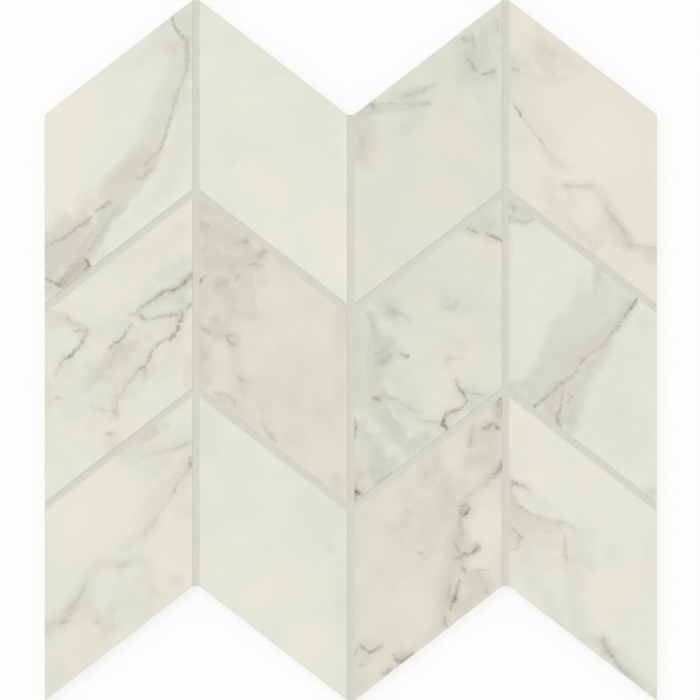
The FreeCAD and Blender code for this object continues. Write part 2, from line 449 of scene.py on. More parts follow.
# %% Design the chip in row 1, column 1
design_chip(
    1, 1,
    ground_tone=(227, 227, 215),
    clouding=0.02,
    cream=[soft((-145, 118, 40, 0.5), (-138, 78, 30, 0.4))],
    warm=[
        soft((-84, 168, 7, 0.32), (-84, 157, 8, 0.3)), soft((-80, 168.5, 5, 0.22)),
        soft((-92, 161, 7, 0.22), (-93, 152, 9, 0.2), (-108, 141, 9, 0.06)),
        soft((-84.5, 151, 8, 0.24), (-87, 135, 9, 0.28), (-92, 118, 11, 0.3), (-98, 104, 11, 0.34),
             (-104, 92, 11, 0.42), (-111, 83, 10, 0.39), (-117, 74, 9, 0.44), (-122, 65, 8, 0.45)),
        firm((-84, 150, 5, 0.24), (-86, 135, 5, 0.28), (-90, 118, 6, 0.3), (-95.5, 104, 6, 0.34),
             (-101.5, 91.5, 7, 0.4), (-108.4, 81.5, 7, 0.37), (-115.4, 72.5, 7, 0.42), (-121, 63.5, 6, 0.43),
             (-126, 55, 6, 0.45), (-130, 48, 5, 0.45)),
        soft((-80, 165, 4, 0.34), (-80.5, 150, 5, 0.38), (-81, 138, 5, 0.28), (-82, 126, 5, 0.24), (-91, 110, 4, 0.22)),
        soft((-82, 130, 7, 0.16), (-84, 98, 9, 0.16), (-92, 80, 8, 0.15), (-103, 70, 8, 0.14)),
        soft((-113, 77, 5, 0.26), (-103, 84, 5, 0.16)),
        soft((-149, 55, 8, 0.4), (-140, 59, 9, 0.42), (-131, 64, 9, 0.5)), soft((-129, 72, 11, 0.3)),
        soft((-150, 31, 10, 0.46), (-141, 28, 6, 0.36)), soft((-147, 37, 6, 0.45)),
        firm((-132.5, 42.5, 4.5, 0.7), (-136, 38.5, 5.2, 0.72), (-142, 34, 5, 0.66)),
        soft((-134, 40, 4, 0.4), (-130.5, 45, 5, 0.45), (-128, 55, 5, 0.44)),
        soft((-144, 31.5, 3.5, 0.34), (-131, 41, 3.5, 0.34)), soft((-124, 46, 6, 0.18)), soft((-112, 62, 7, 0.12)),
        soft((-122.5, 75, 4.5, 0.3)), soft((-148.5, 46, 6, 0.2)), soft((-134, 66.5, 5, 0.16)),
    ],
    beige=[
        soft((-98, 93, 6, 0.26), (-101, 87, 5, 0.12)), soft((-91, 98, 5, 0.2)),
        soft((-106, 95, 6, 0.26), (-112, 88, 7, 0.42), (-121, 80, 7, 0.36)), soft((-89, 149, 7, 0.34)),
        soft((-142, 65, 7, 0.3)), soft((-129, 59, 6, 0.2)),
        soft((-132.5, 42.5, 5, 0.22), (-136, 38.5, 6, 0.2), (-142, 34, 5, 0.12)),
    ],
    rose=[firm((-149, 45, 10, 0.56), (-140, 47, 10, 0.58), (-134, 54, 6, 0.5)), soft((-98, 89, 4, 0.3))],
    vein=[
        soft((-88, 164.5, 1.5, 0.27), (-87, 160, 1.7, 0.28), (-84, 155.5, 1.76, 0.26), (-81, 152, 2.46, 0.25),
             (-80.3, 146, 2.11, 0.22), (-80.5, 139, 1.76, 0.2), (-83, 132, 1.41, 0.14), (-85.7, 125, 2.0, 0.17),
             (-88.4, 116, 1.23, 0.15), (-91.2, 106, 1.41, 0.22), (-93.9, 98.5, 1.23, 0.25)),
        soft((-94.5, 98, 1.76, 0.1), (-98, 95, 1.76, 0.12), (-101, 92, 1.76, 0.12)),
        soft((-104.5, 84.5, 2.11, 0.2), (-101, 86, 1.76, 0.14), (-98.5, 89, 1.76, 0.11)),
        soft((-119.5, 72.5, 1.94, 0.37), (-122, 71, 1.58, 0.31), (-125.5, 68.5, 1.23, 0.28)),
        soft((-127.5, 65.5, 1.06, 0.22), (-129.5, 63.5, 1.58, 0.34), (-135, 60, 1.32, 0.27), (-141, 55.5, 1.41, 0.29),
             (-146, 53.5, 1.23, 0.18), (-150.7, 51, 1.23, 0.13)),
        soft((-115, 70.6, 1.7, 0.14), (-117.5, 66.6, 1.6, 0.11), (-120.5, 60.6, 1.7, 0.1), (-129, 49, 1.5, 0.17)),
        soft((-131, 45.2, 1.23, 0.32), (-129.3, 43.8, 1.5, 0.52), (-129, 41.5, 1.76, 0.64), (-130, 39.5, 1.58, 0.6)),
        soft((-133, 43, 1.9, 0.1), (-138, 38.6, 2.2, 0.1), (-141, 35, 2.5, 0.2), (-142.3, 32.8, 2.4, 0.32),
             (-144, 32.1, 1.9, 0.34), (-147, 34, 1.5, 0.31), (-150.7, 35.7, 1.32, 0.28)),
    ],
)

# %% [markdown]
# ### Row 1, column 2
# The quietest chip: cream clouds and a breath of cool grey.

# %% Design the chip in row 1, column 2
design_chip(
    1, 2,
    ground_tone=(227, 227, 215),
    clouding=0.02,
    cream=[
        soft((-48, 83, 14, 0.5)), soft((-14, 60, 22, 0.7), (-5, 40, 14, 0.8)), soft((-38, 56, 14, 0.7)),
        soft((-3, 105, 8, 0.4), (-2, 92, 7, 0.3)), soft((-40, 76, 30, 0.3)), soft((-70, 100, 14, 0.3)),
        soft((-29, 51, 8, 0.6)),
    ],
    cool=[
        soft((-66, 105, 8, 0.12), (-58, 102, 9, 0.12), (-40, 99, 9, 0.07)),
        soft((-57, 94, 5, 0.09)), soft((-33, 88, 7, 0.07)), soft((-20, 130, 12, 0.07), (-12, 114, 12, 0.09)),
        soft((-72, 150, 8, 0.08)),
    ],
)

# %% [markdown]
# ### Row 1, column 3
# Short dark veins lie in bluish grey clouds, along the slanted edge at the upper left and by the top right
# corner. A pinkish stain is on the left edge.

# %% Design the chip in row 1, column 3
design_chip(
    1, 3,
    ground_tone=(221, 221, 208),
    clouding=0.02,
    cream=[soft((40, 60, 26, 0.25))],
    lilac=[
        soft((6, 118, 6, 0.5), (12, 118.5, 5, 0.46)),
        soft((14, 119, 4, 0.36), (28, 119, 4, 0.32), (37, 121.2, 3, 0.32)),
        soft((24, 124, 7, 0.27), (38, 123, 7, 0.27)),
        soft((28, 110, 7, 0.23), (33, 116, 7, 0.25), (31, 125, 7, 0.36)),
        soft((30, 127.2, 5, 0.26), (40, 129.5, 5, 0.2)),
        soft((10, 112, 6, 0.25), (12, 102, 5, 0.2), (8, 92, 7, 0.2)),
        soft((60, 150, 11, 0.48), (58, 140, 10, 0.48), (55, 132, 9, 0.27)),
        soft((52, 153, 7, 0.3), (53, 144, 7, 0.3)),
        soft((65, 155, 7, 0.46), (64, 142, 7, 0.46)), soft((56, 151, 4, 0.45)),
        soft((66, 153, 14, 0.22), (71, 159, 12, 0.34)),
        soft((60, 133, 6, 0.42), (70, 134, 5, 0.3)), soft((53, 129, 8, 0.2)),
        soft((70, 141, 11, 0.12)), soft((71.5, 167, 6, 0.13)), soft((73, 148, 6, 0.34)),
        soft((44, 140, 12, 0.16)), soft((47, 120, 8, 0.15)), soft((64, 127, 8, 0.2)),
    ],
    rose=[soft((4, 112, 8, 0.4), (6, 103, 8, 0.42), (4.5, 96.5, 8, 0.41))],
    vein=[
        soft((8, 120.8, 1.58, 0.2), (10.3, 121, 1.94, 0.3), (11.5, 119.6, 1.58, 0.26)),
        soft((12, 121.4, 1.06, 0.17), (30, 121.1, 1.06, 0.14), (36, 121.7, 1.41, 0.18), (38.5, 121.7, 1.76, 0.21)),
        soft((26.5, 125.6, 1.76, 0.18), (29, 126.2, 1.76, 0.2)),
        soft((31.5, 127, 1.58, 0.22), (35, 128, 1.76, 0.16), (40, 130.4, 1.23, 0.1), (44, 131, 1.06, 0.05)),
        soft((57, 143.5, 2.64, 0.14), (59, 141.5, 2.29, 0.24), (60.3, 138.7, 2.2, 0.35), (62, 138.4, 1.7, 0.27)),
        soft((55.5, 153, 2.11, 0.22), (57, 152.5, 1.76, 0.22)),
        soft((59.5, 154.5, 1.41, 0.19), (61, 150, 1.41, 0.15)),
        soft((64.5, 136, 1.23, 0.28), (67, 136.2, 1.58, 0.34), (70.5, 137.4, 1.7, 0.24)),
        soft((72, 162, 1.58, 0.12), (72.5, 158, 1.58, 0.1)),
        soft((5.5, 104, 3.08, 0.1), (5.5, 100, 2.64, 0.1)),
    ],
)

# %% [markdown]
# ### Row 1, column 4
# Thin veins start on the left edge, and a long hairline wanders from them to the lower right corner, through
# warm and beige patches.

# %% Design the chip in row 1, column 4
design_chip(
    1, 4,
    ground_tone=(227, 225, 211),
    clouding=0.02,
    cream=[soft((125, 100, 34, 0.5)), soft((115, 70, 7, 0.3))],
    warm=[
        soft((86, 150, 8, 0.09), (95, 148, 10, 0.42), (103, 143, 8, 0.24), (111, 139, 7, 0.2)),
        soft((80, 142, 7, 0.32), (87, 141, 6, 0.29)), soft((92, 143, 5, 0.26), (99, 138, 7, 0.34)),
        soft((93, 158, 5, 0.24)), soft((105, 149, 5, 0.2)), soft((110, 137, 6, 0.14)),
        soft((80, 136.5, 3.5, 0.32), (88, 135.5, 3.5, 0.22), (94, 133, 4, 0.25), (100, 132.5, 3.5, 0.23),
             (109, 135, 3.5, 0.16)),
        soft((80, 130, 16, 0.22), (88, 128, 12, 0.12)),
        soft((84, 122, 10, 0.16), (91, 114, 10, 0.17), (98, 104, 9, 0.14)), soft((84, 104, 10, 0.12)),
        soft((84, 115, 4, 0.09), (93, 103, 4.5, 0.16), (101, 93, 6, 0.2), (107, 89, 4, 0.14)),
        soft((105, 81.5, 4.5, 0.25), (112, 80.5, 4.5, 0.25), (119, 80.5, 4.5, 0.22)),
        soft((120.5, 79.5, 5, 0.2), (125, 74.5, 6, 0.26), (127.3, 67.3, 6.5, 0.33), (130.3, 62.3, 6.5, 0.38),
             (134.3, 56.4, 6.5, 0.38), (138.6, 51.4, 6, 0.32)),
        soft((139, 51, 5, 0.28), (146, 49, 7, 0.32), (150, 46.5, 8, 0.38)),
        soft((128, 61, 5, 0.3), (131, 53, 4, 0.34)), soft((134, 56, 4, 0.24), (135, 49, 4, 0.26)),
        soft((126, 66, 6, 0.2), (122, 57, 6, 0.14), (120, 52, 5, 0.28), (119, 45, 5, 0.27)), soft((125, 59.5, 5, 0.28)),
        soft((107, 80, 4, 0.18), (109, 73, 4, 0.16), (106, 66, 5, 0.14), (112, 57, 6, 0.27), (117, 53, 5, 0.26)),
        soft((97, 84, 7, 0.19), (98, 76, 7, 0.17), (103, 68, 8, 0.18), (97, 68, 5, 0.2)),
    ],
    beige=[soft((135, 57, 5, 0.34), (138.5, 52, 5, 0.28))],
    rose=[soft((138, 51.5, 3.5, 0.22))],
    vein=[
        soft((80.3, 138.6, 1.23, 0.29), (82.8, 137.7, 1.06, 0.25)),
        soft((80.3, 121, 0.97, 0.27), (82.3, 118.3, 1.14, 0.28), (84, 115.4, 1.06, 0.43)),
        soft((84, 115, 1.23, 0.08), (91, 106, 1.23, 0.09), (93, 103.5, 1.41, 0.15), (95.5, 99.5, 1.23, 0.1),
             (99, 95, 1.23, 0.04), (105, 90.5, 1.23, 0.04), (108.5, 89, 1.06, 0.01)),
        soft((106, 81, 2.11, 0.12), (112, 80.5, 1.76, 0.07), (118.5, 80.3, 2.11, 0.13)),
        soft((125.5, 70, 1.58, 0.09), (127.5, 67.5, 2.11, 0.17), (130, 64.5, 1.76, 0.13), (133, 61, 1.76, 0.17),
             (134.5, 58, 1.76, 0.12)),
        soft((136.5, 52, 2.11, 0.07), (138, 51, 1.76, 0.09)),
        soft((142, 51.5, 1.23, 0.1), (150, 50, 1.23, 0.12)),
    ],
)

# %% [markdown]
# ### Row 2, column 1
# The most drawn chip: dark veins run from the right edge to the lower left, with side arms, and another chain
# stands by itself on the left.

# %% Design the chip in row 2, column 1
design_chip(
    2, 1,
    ground_tone=(226, 226, 213),
    clouding=0.02,
    warm=[
        soft((-126, 9, 12, 0.18), (-108, 10, 10, 0.2)), soft((-112, 19, 9, 0.14)), soft((-146, 13, 9, 0.2)),
        soft((-143, -6, 8, 0.09), (-136, -14, 8, 0.16)), soft((-121, -7, 9, 0.22)), soft((-126, -36, 9, 0.12)),
        soft((-101, 29, 8, 0.18)), soft((-90, 3, 7, 0.08)), soft((-105, 9, 6, 0.3)), soft((-128, -9, 6, 0.3)),
        soft((-112, 44, 14, 0.1), (-90, 50, 12, 0.1)), soft((-84, 60, 10, 0.2)),
        soft((-82, 10, 9, 0.16), (-90, -8, 10, 0.14)),
        soft((-82, 43, 8, 0.28), (-93, 36, 8, 0.22)),
        soft((-80, 35.5, 7, 0.45), (-88, 27.6, 8, 0.41), (-96, 24.4, 7, 0.36), (-102, 20, 7, 0.24)),
        soft((-83, 26, 8, 0.45), (-84, 19, 7, 0.38)),
        soft((-98, 16, 4, 0.3), (-88, 17.5, 4.5, 0.4), (-84, 15, 4, 0.38)),
        soft((-107, 3, 8, 0.4), (-113, -2, 9, 0.55), (-119, -7, 9, 0.5), (-125, -12.5, 8, 0.43),
             (-131, -18.5, 6, 0.28)),
        soft((-111.5, 2.5, 5, 0.5), (-116, -1, 5.5, 0.62)),
        soft((-101, -2, 12, 0.23), (-108, -12, 13, 0.27), (-115, -23, 12, 0.25)),
        soft((-97, -7, 6, 0.27), (-101, -12, 6, 0.3)),
        soft((-150, 16, 8, 0.2), (-142, 15.5, 7, 0.42), (-136, 12.5, 6, 0.27)),
        soft((-133, 8, 5, 0.28), (-130.5, 2, 5, 0.2)),
        soft((-149, -18, 9, 0.24), (-149, -27, 8, 0.2)), soft((-145, -18, 12, 0.12), (-135, -30, 12, 0.13)),
        soft((-122, -22, 10, 0.14), (-123, -29, 9, 0.18)),
        soft((-117, -47, 8, 0.32)), soft((-113, -29, 9, 0.1)),
        soft((-119, -42, 6, 0.23)),
        soft((-107, 17, 9, 0.16), (-98, 12, 9, 0.19), (-90, 12, 9, 0.19)),
        soft((-115, -16, 4, 0.28), (-117.5, -26, 5, 0.33), (-116, -31, 6, 0.32)),
        soft((-80, -5, 5, 0.26), (-80, -16, 5, 0.26)), soft((-95, -12, 9, 0.14)), soft((-113, -36, 10, 0.06)),
        soft((-101, 6, 6, 0.3)), soft((-123, -6.5, 5, 0.45)), soft((-118, -13.5, 6, 0.36)), soft((-108, 17, 5, 0.31)),
        soft((-140, 21, 7, 0.09)),
    ],
    beige=[soft((-103, 17, 4, 0.3)), soft((-102.5, -8.5, 3.5, 0.4)), soft((-141, -8, 8, 0.1))],
    pale=[soft((-116.6, 8.5, 4, 0.32))],
    vein=[
        soft((-77.9, 37, 1.94, 0.19), (-80.5, 35, 1.94, 0.37), (-82, 33.3, 2.2, 0.46), (-84.5, 31, 1.5, 0.36),
             (-87, 29.5, 1.6, 0.43), (-91.5, 29, 1.65, 0.47), (-95, 26.4, 1.6, 0.36), (-98, 24.4, 1.5, 0.3),
             (-101, 22.8, 1.58, 0.3), (-104.5, 20.2, 1.5, 0.17), (-106, 18.2, 1.4, 0.14), (-108.5, 17.6, 1.23, 0.14)),
        soft((-103.6, 17.4, 1.58, 0.26), (-102, 15.7, 1.76, 0.36), (-100.7, 15.3, 1.41, 0.32)),
        soft((-98, 15.8, 1.06, 0.14), (-94, 17, 1.23, 0.18), (-91, 16.9, 1.5, 0.31), (-88, 16.8, 1.5, 0.34),
             (-85.5, 17.5, 1.4, 0.34)),
        soft((-78.5, 23, 1.58, 0.31), (-81, 20.5, 1.41, 0.25)),
        soft((-83.3, 18.8, 1.5, 0.36), (-82.8, 16.5, 1.9, 0.44), (-84.5, 13, 1.8, 0.4), (-84.8, 11, 2.0, 0.48),
             (-86, 8.8, 1.8, 0.38), (-87.5, 7, 2.3, 0.52), (-88.3, 5.3, 1.9, 0.38), (-91, 5.8, 1.8, 0.29),
             (-94, 4.5, 1.7, 0.24), (-96.5, 1.8, 1.6, 0.3), (-98, -0.8, 1.6, 0.32), (-99.6, -5, 1.5, 0.26),
             (-101.3, -7.5, 1.5, 0.2), (-103.2, -8.7, 1.7, 0.26), (-105, -10, 1.4, 0.16), (-107.2, -13, 1.5, 0.12),
             (-110.5, -17, 1.5, 0.13), (-112.5, -20.5, 1.6, 0.15), (-114.5, -24, 1.4, 0.09)),
        soft((-100, -4, 1.58, 0.15), (-101.5, -10, 1.58, 0.17), (-102.5, -14, 1.58, 0.1)),
        soft((-128, -27, 1.58, 0.06), (-125.5, -29, 1.5, 0.07), (-120, -30, 1.41, 0.11), (-116.5, -30.2, 1.58, 0.14),
             (-114.5, -32, 1.41, 0.13)),
        soft((-115, -22, 1.41, 0.15), (-115.7, -27, 1.41, 0.12), (-114.8, -31, 1.41, 0.15)),
        soft((-108.3, 12, 1.23, 0.22), (-110.5, 9.5, 1.32, 0.28), (-111.8, 7, 1.23, 0.25), (-113.5, 5, 1.5, 0.34),
             (-115.2, 4, 1.76, 0.43), (-117.5, 2.5, 1.58, 0.34), (-119, 1, 1.32, 0.2)),
        soft((-136.5, 9, 1.4, 0.24), (-133, 9.8, 1.4, 0.25), (-130, 9.2, 1.5, 0.34), (-132.5, 3.5, 1.3, 0.28),
             (-134, 1, 1.41, 0.34), (-136.5, -1.5, 1.41, 0.4), (-138.5, -3.5, 1.8, 0.6), (-141, -4.5, 1.41, 0.26),
             (-143, -7, 1.4, 0.15), (-144.5, -10.5, 1.5, 0.14), (-145.2, -12.8, 1.3, 0.11)),
        soft((-139, 16, 1.4, 0.17), (-136, 13, 1.58, 0.1), (-132.5, 12, 1.58, 0.16), (-130.5, 10, 1.23, 0.19)),
        soft((-144.5, -23.5, 1.94, 0.18), (-143, -23.5, 1.5, 0.15)),
        soft((-119.5, -40.8, 1.76, 0.19), (-117, -41.5, 1.76, 0.19)),
    ],
)

# %% [markdown]
# ### Row 2, column 2
# A warm and cloudy chip: beige grey patches fill its left half, with short dashes in them.

# %% Design the chip in row 2, column 2
design_chip(
    2, 2,
    ground_tone=(221, 219, 205),
    clouding=0.045,
    cream=[soft((-46, -7, 9, 0.3)), soft((-12, -50, 8, 0.25))],
    warm=[
        soft((-73, 70, 7, 0.4), (-67.5, 66, 6, 0.37)), soft((-73, -28, 7, 0.3)),
        soft((-72, 60, 15, 0.5), (-60, 55, 13, 0.46), (-51, 50, 8, 0.5)),
        soft((-70, 45, 12, 0.45), (-57, 41, 10, 0.5), (-50, 46, 8, 0.42), (-46, 42, 6, 0.5)),
        soft((-64, 33, 10, 0.5), (-58, 26, 10, 0.4), (-58, 18, 9, 0.4), (-52, 17, 6, 0.34), (-47, 16.5, 4, 0.32)),
        firm((-51, 38, 6, 0.3), (-50.5, 20, 6, 0.28)),
        soft((-74, 30, 14, 0.25), (-74, 5, 8, 0.36), (-73, -8, 8, 0.32), (-73, -16, 7, 0.32)),
        soft((-70, 11, 7, 0.5), (-66, 8, 6, 0.5), (-60, 10, 8, 0.36), (-57, 5, 6, 0.36), (-57.5, -8, 5, 0.25)),
        soft((-55, -14, 7, 0.32), (-53, -20, 7, 0.36)),
        soft((-65, -24, 7, 0.32), (-58, -26, 7, 0.3), (-53, -33, 6, 0.14), (-46, -37, 5, 0.22)),
        soft((-43, -28, 7, 0.25)), soft((-42, -36, 6, 0.2), (-39, -43, 5, 0.2)),
        soft((-28, -25, 10, 0.11)), soft((-28, -45, 11, 0.16)), soft((-16, -31, 9, 0.14)),
        soft((-5, 16, 8, 0.23), (-4, -6, 7, 0.14), (-4, -26, 6, 0.1)),
        soft((-6, -66, 8, 0.27)), soft((-34, 42, 8, 0.14)),
        soft((-45, 47, 6, 0.45)), soft((-52, 51, 6, 0.45)), soft((-72, 50, 8, 0.52)), soft((-44, 35, 7, 0.26)),
        soft((-67, 15, 6, 0.54)),
    ],
    beige=[soft((-40, -12, 24, 0.12), (-20, -25, 28, 0.1)), soft((-69, 35, 12, 0.15)), soft((-64, 14, 6, 0.2))],
    vein=[
        soft((-73.3, 61.5, 2.99, 0.09), (-70.5, 61.8, 2.46, 0.16)),
        soft((-55, 53.2, 1.41, 0.15), (-51, 53.4, 1.7, 0.22)),
        soft((-45.8, 46, 2.64, 0.19), (-43.5, 48, 2.29, 0.25), (-41.2, 48.9, 1.6, 0.27)),
        soft((-49.5, 42, 1.5, 0.25), (-47, 42.4, 1.5, 0.17)),
        soft((-74, 34, 1.76, 0.37), (-72.5, 35.8, 1.58, 0.25), (-70.5, 37, 1.5, 0.12)),
        soft((-56.5, 34.5, 1.58, 0.22), (-55, 36.8, 1.5, 0.19)),
        soft((-66, 32.5, 2.2, 0.1), (-61, 34, 2.4, 0.1)),
        soft((-61.3, 7.2, 1.5, 0.28), (-60.5, 5.5, 1.58, 0.34), (-59.5, 3.8, 1.58, 0.28), (-57.5, 2.5, 1.5, 0.15)),
        soft((-61, 7.5, 1.23, 0.22), (-58.5, 7.2, 1.23, 0.2)),
        soft((-72.5, 10.3, 1.76, 0.22), (-69.5, 8.3, 1.5, 0.15)),
        soft((-55.5, -12.5, 1.5, 0.16), (-54, -14.5, 1.5, 0.16), (-51, -16, 1.32, 0.12)),
        soft((-66.5, -20.9, 1.23, 0.14), (-61, -21.7, 1.41, 0.18), (-58.5, -23.4, 1.32, 0.15), (-57, -27, 1.23, 0.1)),
        soft((-43, -36.5, 1.76, 0.1), (-41.5, -39, 1.7, 0.12), (-39.5, -42.5, 1.6, 0.15), (-37.5, -46, 1.4, 0.12)),
        soft((-72.5, -1, 2.11, 0.12), (-72, -4, 2.11, 0.12)),
    ],
)

# %% [markdown]
# ### Row 2, column 3
# Cool grey clouds fill its left side, with pale streaks between. A crooked dark vein crosses the lower right, and
# dark dashes sit in the top right and bottom left corners.

# %% Design the chip in row 2, column 3
design_chip(
    2, 3,
    ground_tone=(221, 221, 208),
    clouding=0.03,
    cream=[soft((66, -10, 16, 0.2)), soft((36, 4, 9, 0.2))],
    cool=[
        soft((3, 20, 8, 0.22), (3, 0, 9, 0.28), (4, -18, 10, 0.38), (6, -26, 7, 0.34)),
        soft((9.5, 18, 5, 0.36), (11, 11, 5.5, 0.4), (14, 3, 8, 0.45), (16, -5, 10, 0.5), (10, -16, 10, 0.41),
             (13, -23, 9, 0.41), (19, -24, 6, 0.36)),
        soft((9, 3, 5, 0.4), (9, -7, 6, 0.46)), soft((16, -19, 6, 0.46)), soft((24, -29, 6, 0.28)),
        soft((17, 25, 8, 0.36), (21, 18, 7, 0.5), (27, 16, 5, 0.2)), soft((24, 22, 5, 0.3)), soft((18, 5, 5, 0.42)),
        soft((19, 5, 5, 0.4), (21, -1, 5, 0.42), (26, -2, 5, 0.34)),
        soft((12, -30, 7, 0.3), (17, -37, 7, 0.34), (21, -43, 7, 0.34), (26, -47, 6, 0.34)),
        firm((14, -28, 5, 0.32), (18, -33.5, 5, 0.48), (22.5, -40, 5, 0.48), (26.5, -45.5, 4.5, 0.35)),
        soft((29, -48, 7, 0.45), (38, -43, 7, 0.45)),
        soft((5, -38, 9, 0.36), (15, -54, 9, 0.46), (13, -61, 8, 0.56)), soft((21, -54, 6, 0.46)),
        soft((5, -63, 7, 0.42)),
        firm((13, -60, 6, 0.56)), soft((3, -70, 5, 0.58), (9, -66, 5, 0.36)),
        soft((68, 63, 13, 0.34), (58, 60.4, 7, 0.4), (70, 57, 8, 0.3)),
        soft((18, 34, 11, 0.14), (30, 29, 13, 0.16), (42, 30, 9, 0.12)),
        soft((47, 23, 7, 0.23), (58, 21, 7, 0.2)), soft((54, 26, 7, 0.14)),
        soft((49, 6, 6, 0.14), (55, 2, 6, 0.14)), soft((48, -3, 4, 0.3), (48, -9, 4, 0.2)),
        soft((57.5, -21.5, 5, 0.22), (66, -23, 5, 0.23)),
        soft((48, -33, 6, 0.27), (43, -38, 9, 0.27), (34, -34, 5, 0.18)),
        soft((60, -27, 7, 0.36), (66, -24, 6, 0.32)),
        soft((30, -20, 7, 0.16), (32, -30, 7, 0.25)),
        soft((20, -12, 14, 0.23), (27, -22, 9, 0.16)),
    ],
    beige=[
        soft((3, -58, 9, 0.3), (6, -50, 9, 0.1)), soft((13, -24, 4, 0.3)), soft((16.8, -57.8, 5, 0.14)),
        soft((11, -28, 4, 0.14)),
    ],
    pale=[
        firm((11, -38, 4, 0.35)), firm((21, -50, 5, 0.4), (25, -52, 4, 0.3)),
        soft((39, -24, 11, 0.3), (37, -12, 9, 0.2)),
        soft((20, -17, 5, 0.25)), soft((7, -47, 6, 0.16), (8.4, -52, 5, 0.12)),
    ],
    vein=[
        soft((57.6, 59.9, 1.3, 0.3), (60.4, 58.9, 1.5, 0.34), (62.2, 57.9, 1.3, 0.28)),
        soft((67.1, 57.2, 1.3, 0.3), (69.2, 56.4, 1.5, 0.44), (71.7, 55.4, 1.6, 0.5), (74.4, 54.2, 1.4, 0.4)),
        soft((18, 19.8, 2.4, 0.12), (21.5, 18.9, 2.6, 0.16), (25.5, 17.3, 1.7, 0.1), (29, 14.5, 1.3, 0.07)),
        soft((25.5, -2, 1.76, 0.25), (28.5, -2.8, 1.76, 0.31)),
        soft((14, -6, 3.2, 0.18), (16.5, -5, 3.4, 0.2), (19, -2.5, 2.8, 0.18)),
        soft((14.5, -2.5, 3.2, 0.14), (18, 1.5, 3.2, 0.12)),
        soft((48.5, 20.4, 2.2, 0.12), (50.5, 21.8, 2.4, 0.13), (52.5, 24.5, 1.5, 0.08)),
        soft((47, -4.5, 1.23, 0.14), (51, -4.2, 1.06, 0.12), (56, -4, 0.97, 0.09)),
        soft((51.5, -14.5, 1.3, 0.22), (52.7, -17.5, 1.4, 0.31), (54.2, -20, 1.9, 0.6), (55.6, -22.2, 1.4, 0.33),
             (57, -24.8, 1.5, 0.31), (55.5, -27.3, 1.32, 0.3), (53, -29.5, 1.5, 0.34), (50.8, -30, 1.7, 0.38),
             (48, -31, 1.6, 0.34), (46.1, -32.9, 1.4, 0.38), (45.7, -34.8, 1.8, 0.62), (44.8, -36.5, 1.5, 0.42),
             (46.6, -37.1, 1.7, 0.64), (47.6, -38.5, 1.6, 0.6)),
        soft((55, -20.5, 1.06, 0.17), (60, -21.3, 1.06, 0.14), (66, -22.6, 1.23, 0.17)),
        soft((43, -35.5, 1.2, 0.14), (36, -35, 1.2, 0.07), (33, -33, 1.2, 0.06)),
        soft((12, -23.6, 2.0, 0.3), (13.8, -24.1, 2.0, 0.4)),
        soft((13.5, -22.8, 1.4, 0.16), (17, -21.8, 1.7, 0.18), (20.5, -23.4, 1.6, 0.14), (25, -25.8, 1.5, 0.12),
             (29, -28.6, 1.6, 0.16), (32.5, -30, 1.3, 0.08)),
        soft((1.8, -33, 1.23, 0.19), (2.3, -37, 1.58, 0.34), (2, -43, 1.23, 0.19)),
        soft((3, -69.6, 2.2, 0.7), (4.1, -70.3, 2.0, 0.6)),
        soft((2, -66, 2.11, 0.22), (2, -69, 2.3, 0.24), (2, -73, 2.2, 0.4)),
        soft((12.5, -65.5, 1.76, 0.19), (20, -60, 1.76, 0.19)),
        soft((8.8, 18.5, 2.2, 0.1), (10.5, 12, 2.4, 0.1), (11.5, 6, 2.0, 0.08)),
    ],
)

# %% [markdown]
# ### Row 2, column 4
# A bluish band with a pinkish core crosses it from the upper right to the lower left. Its lower bank is a sharp
# line that is dark at its upper end and broken below.

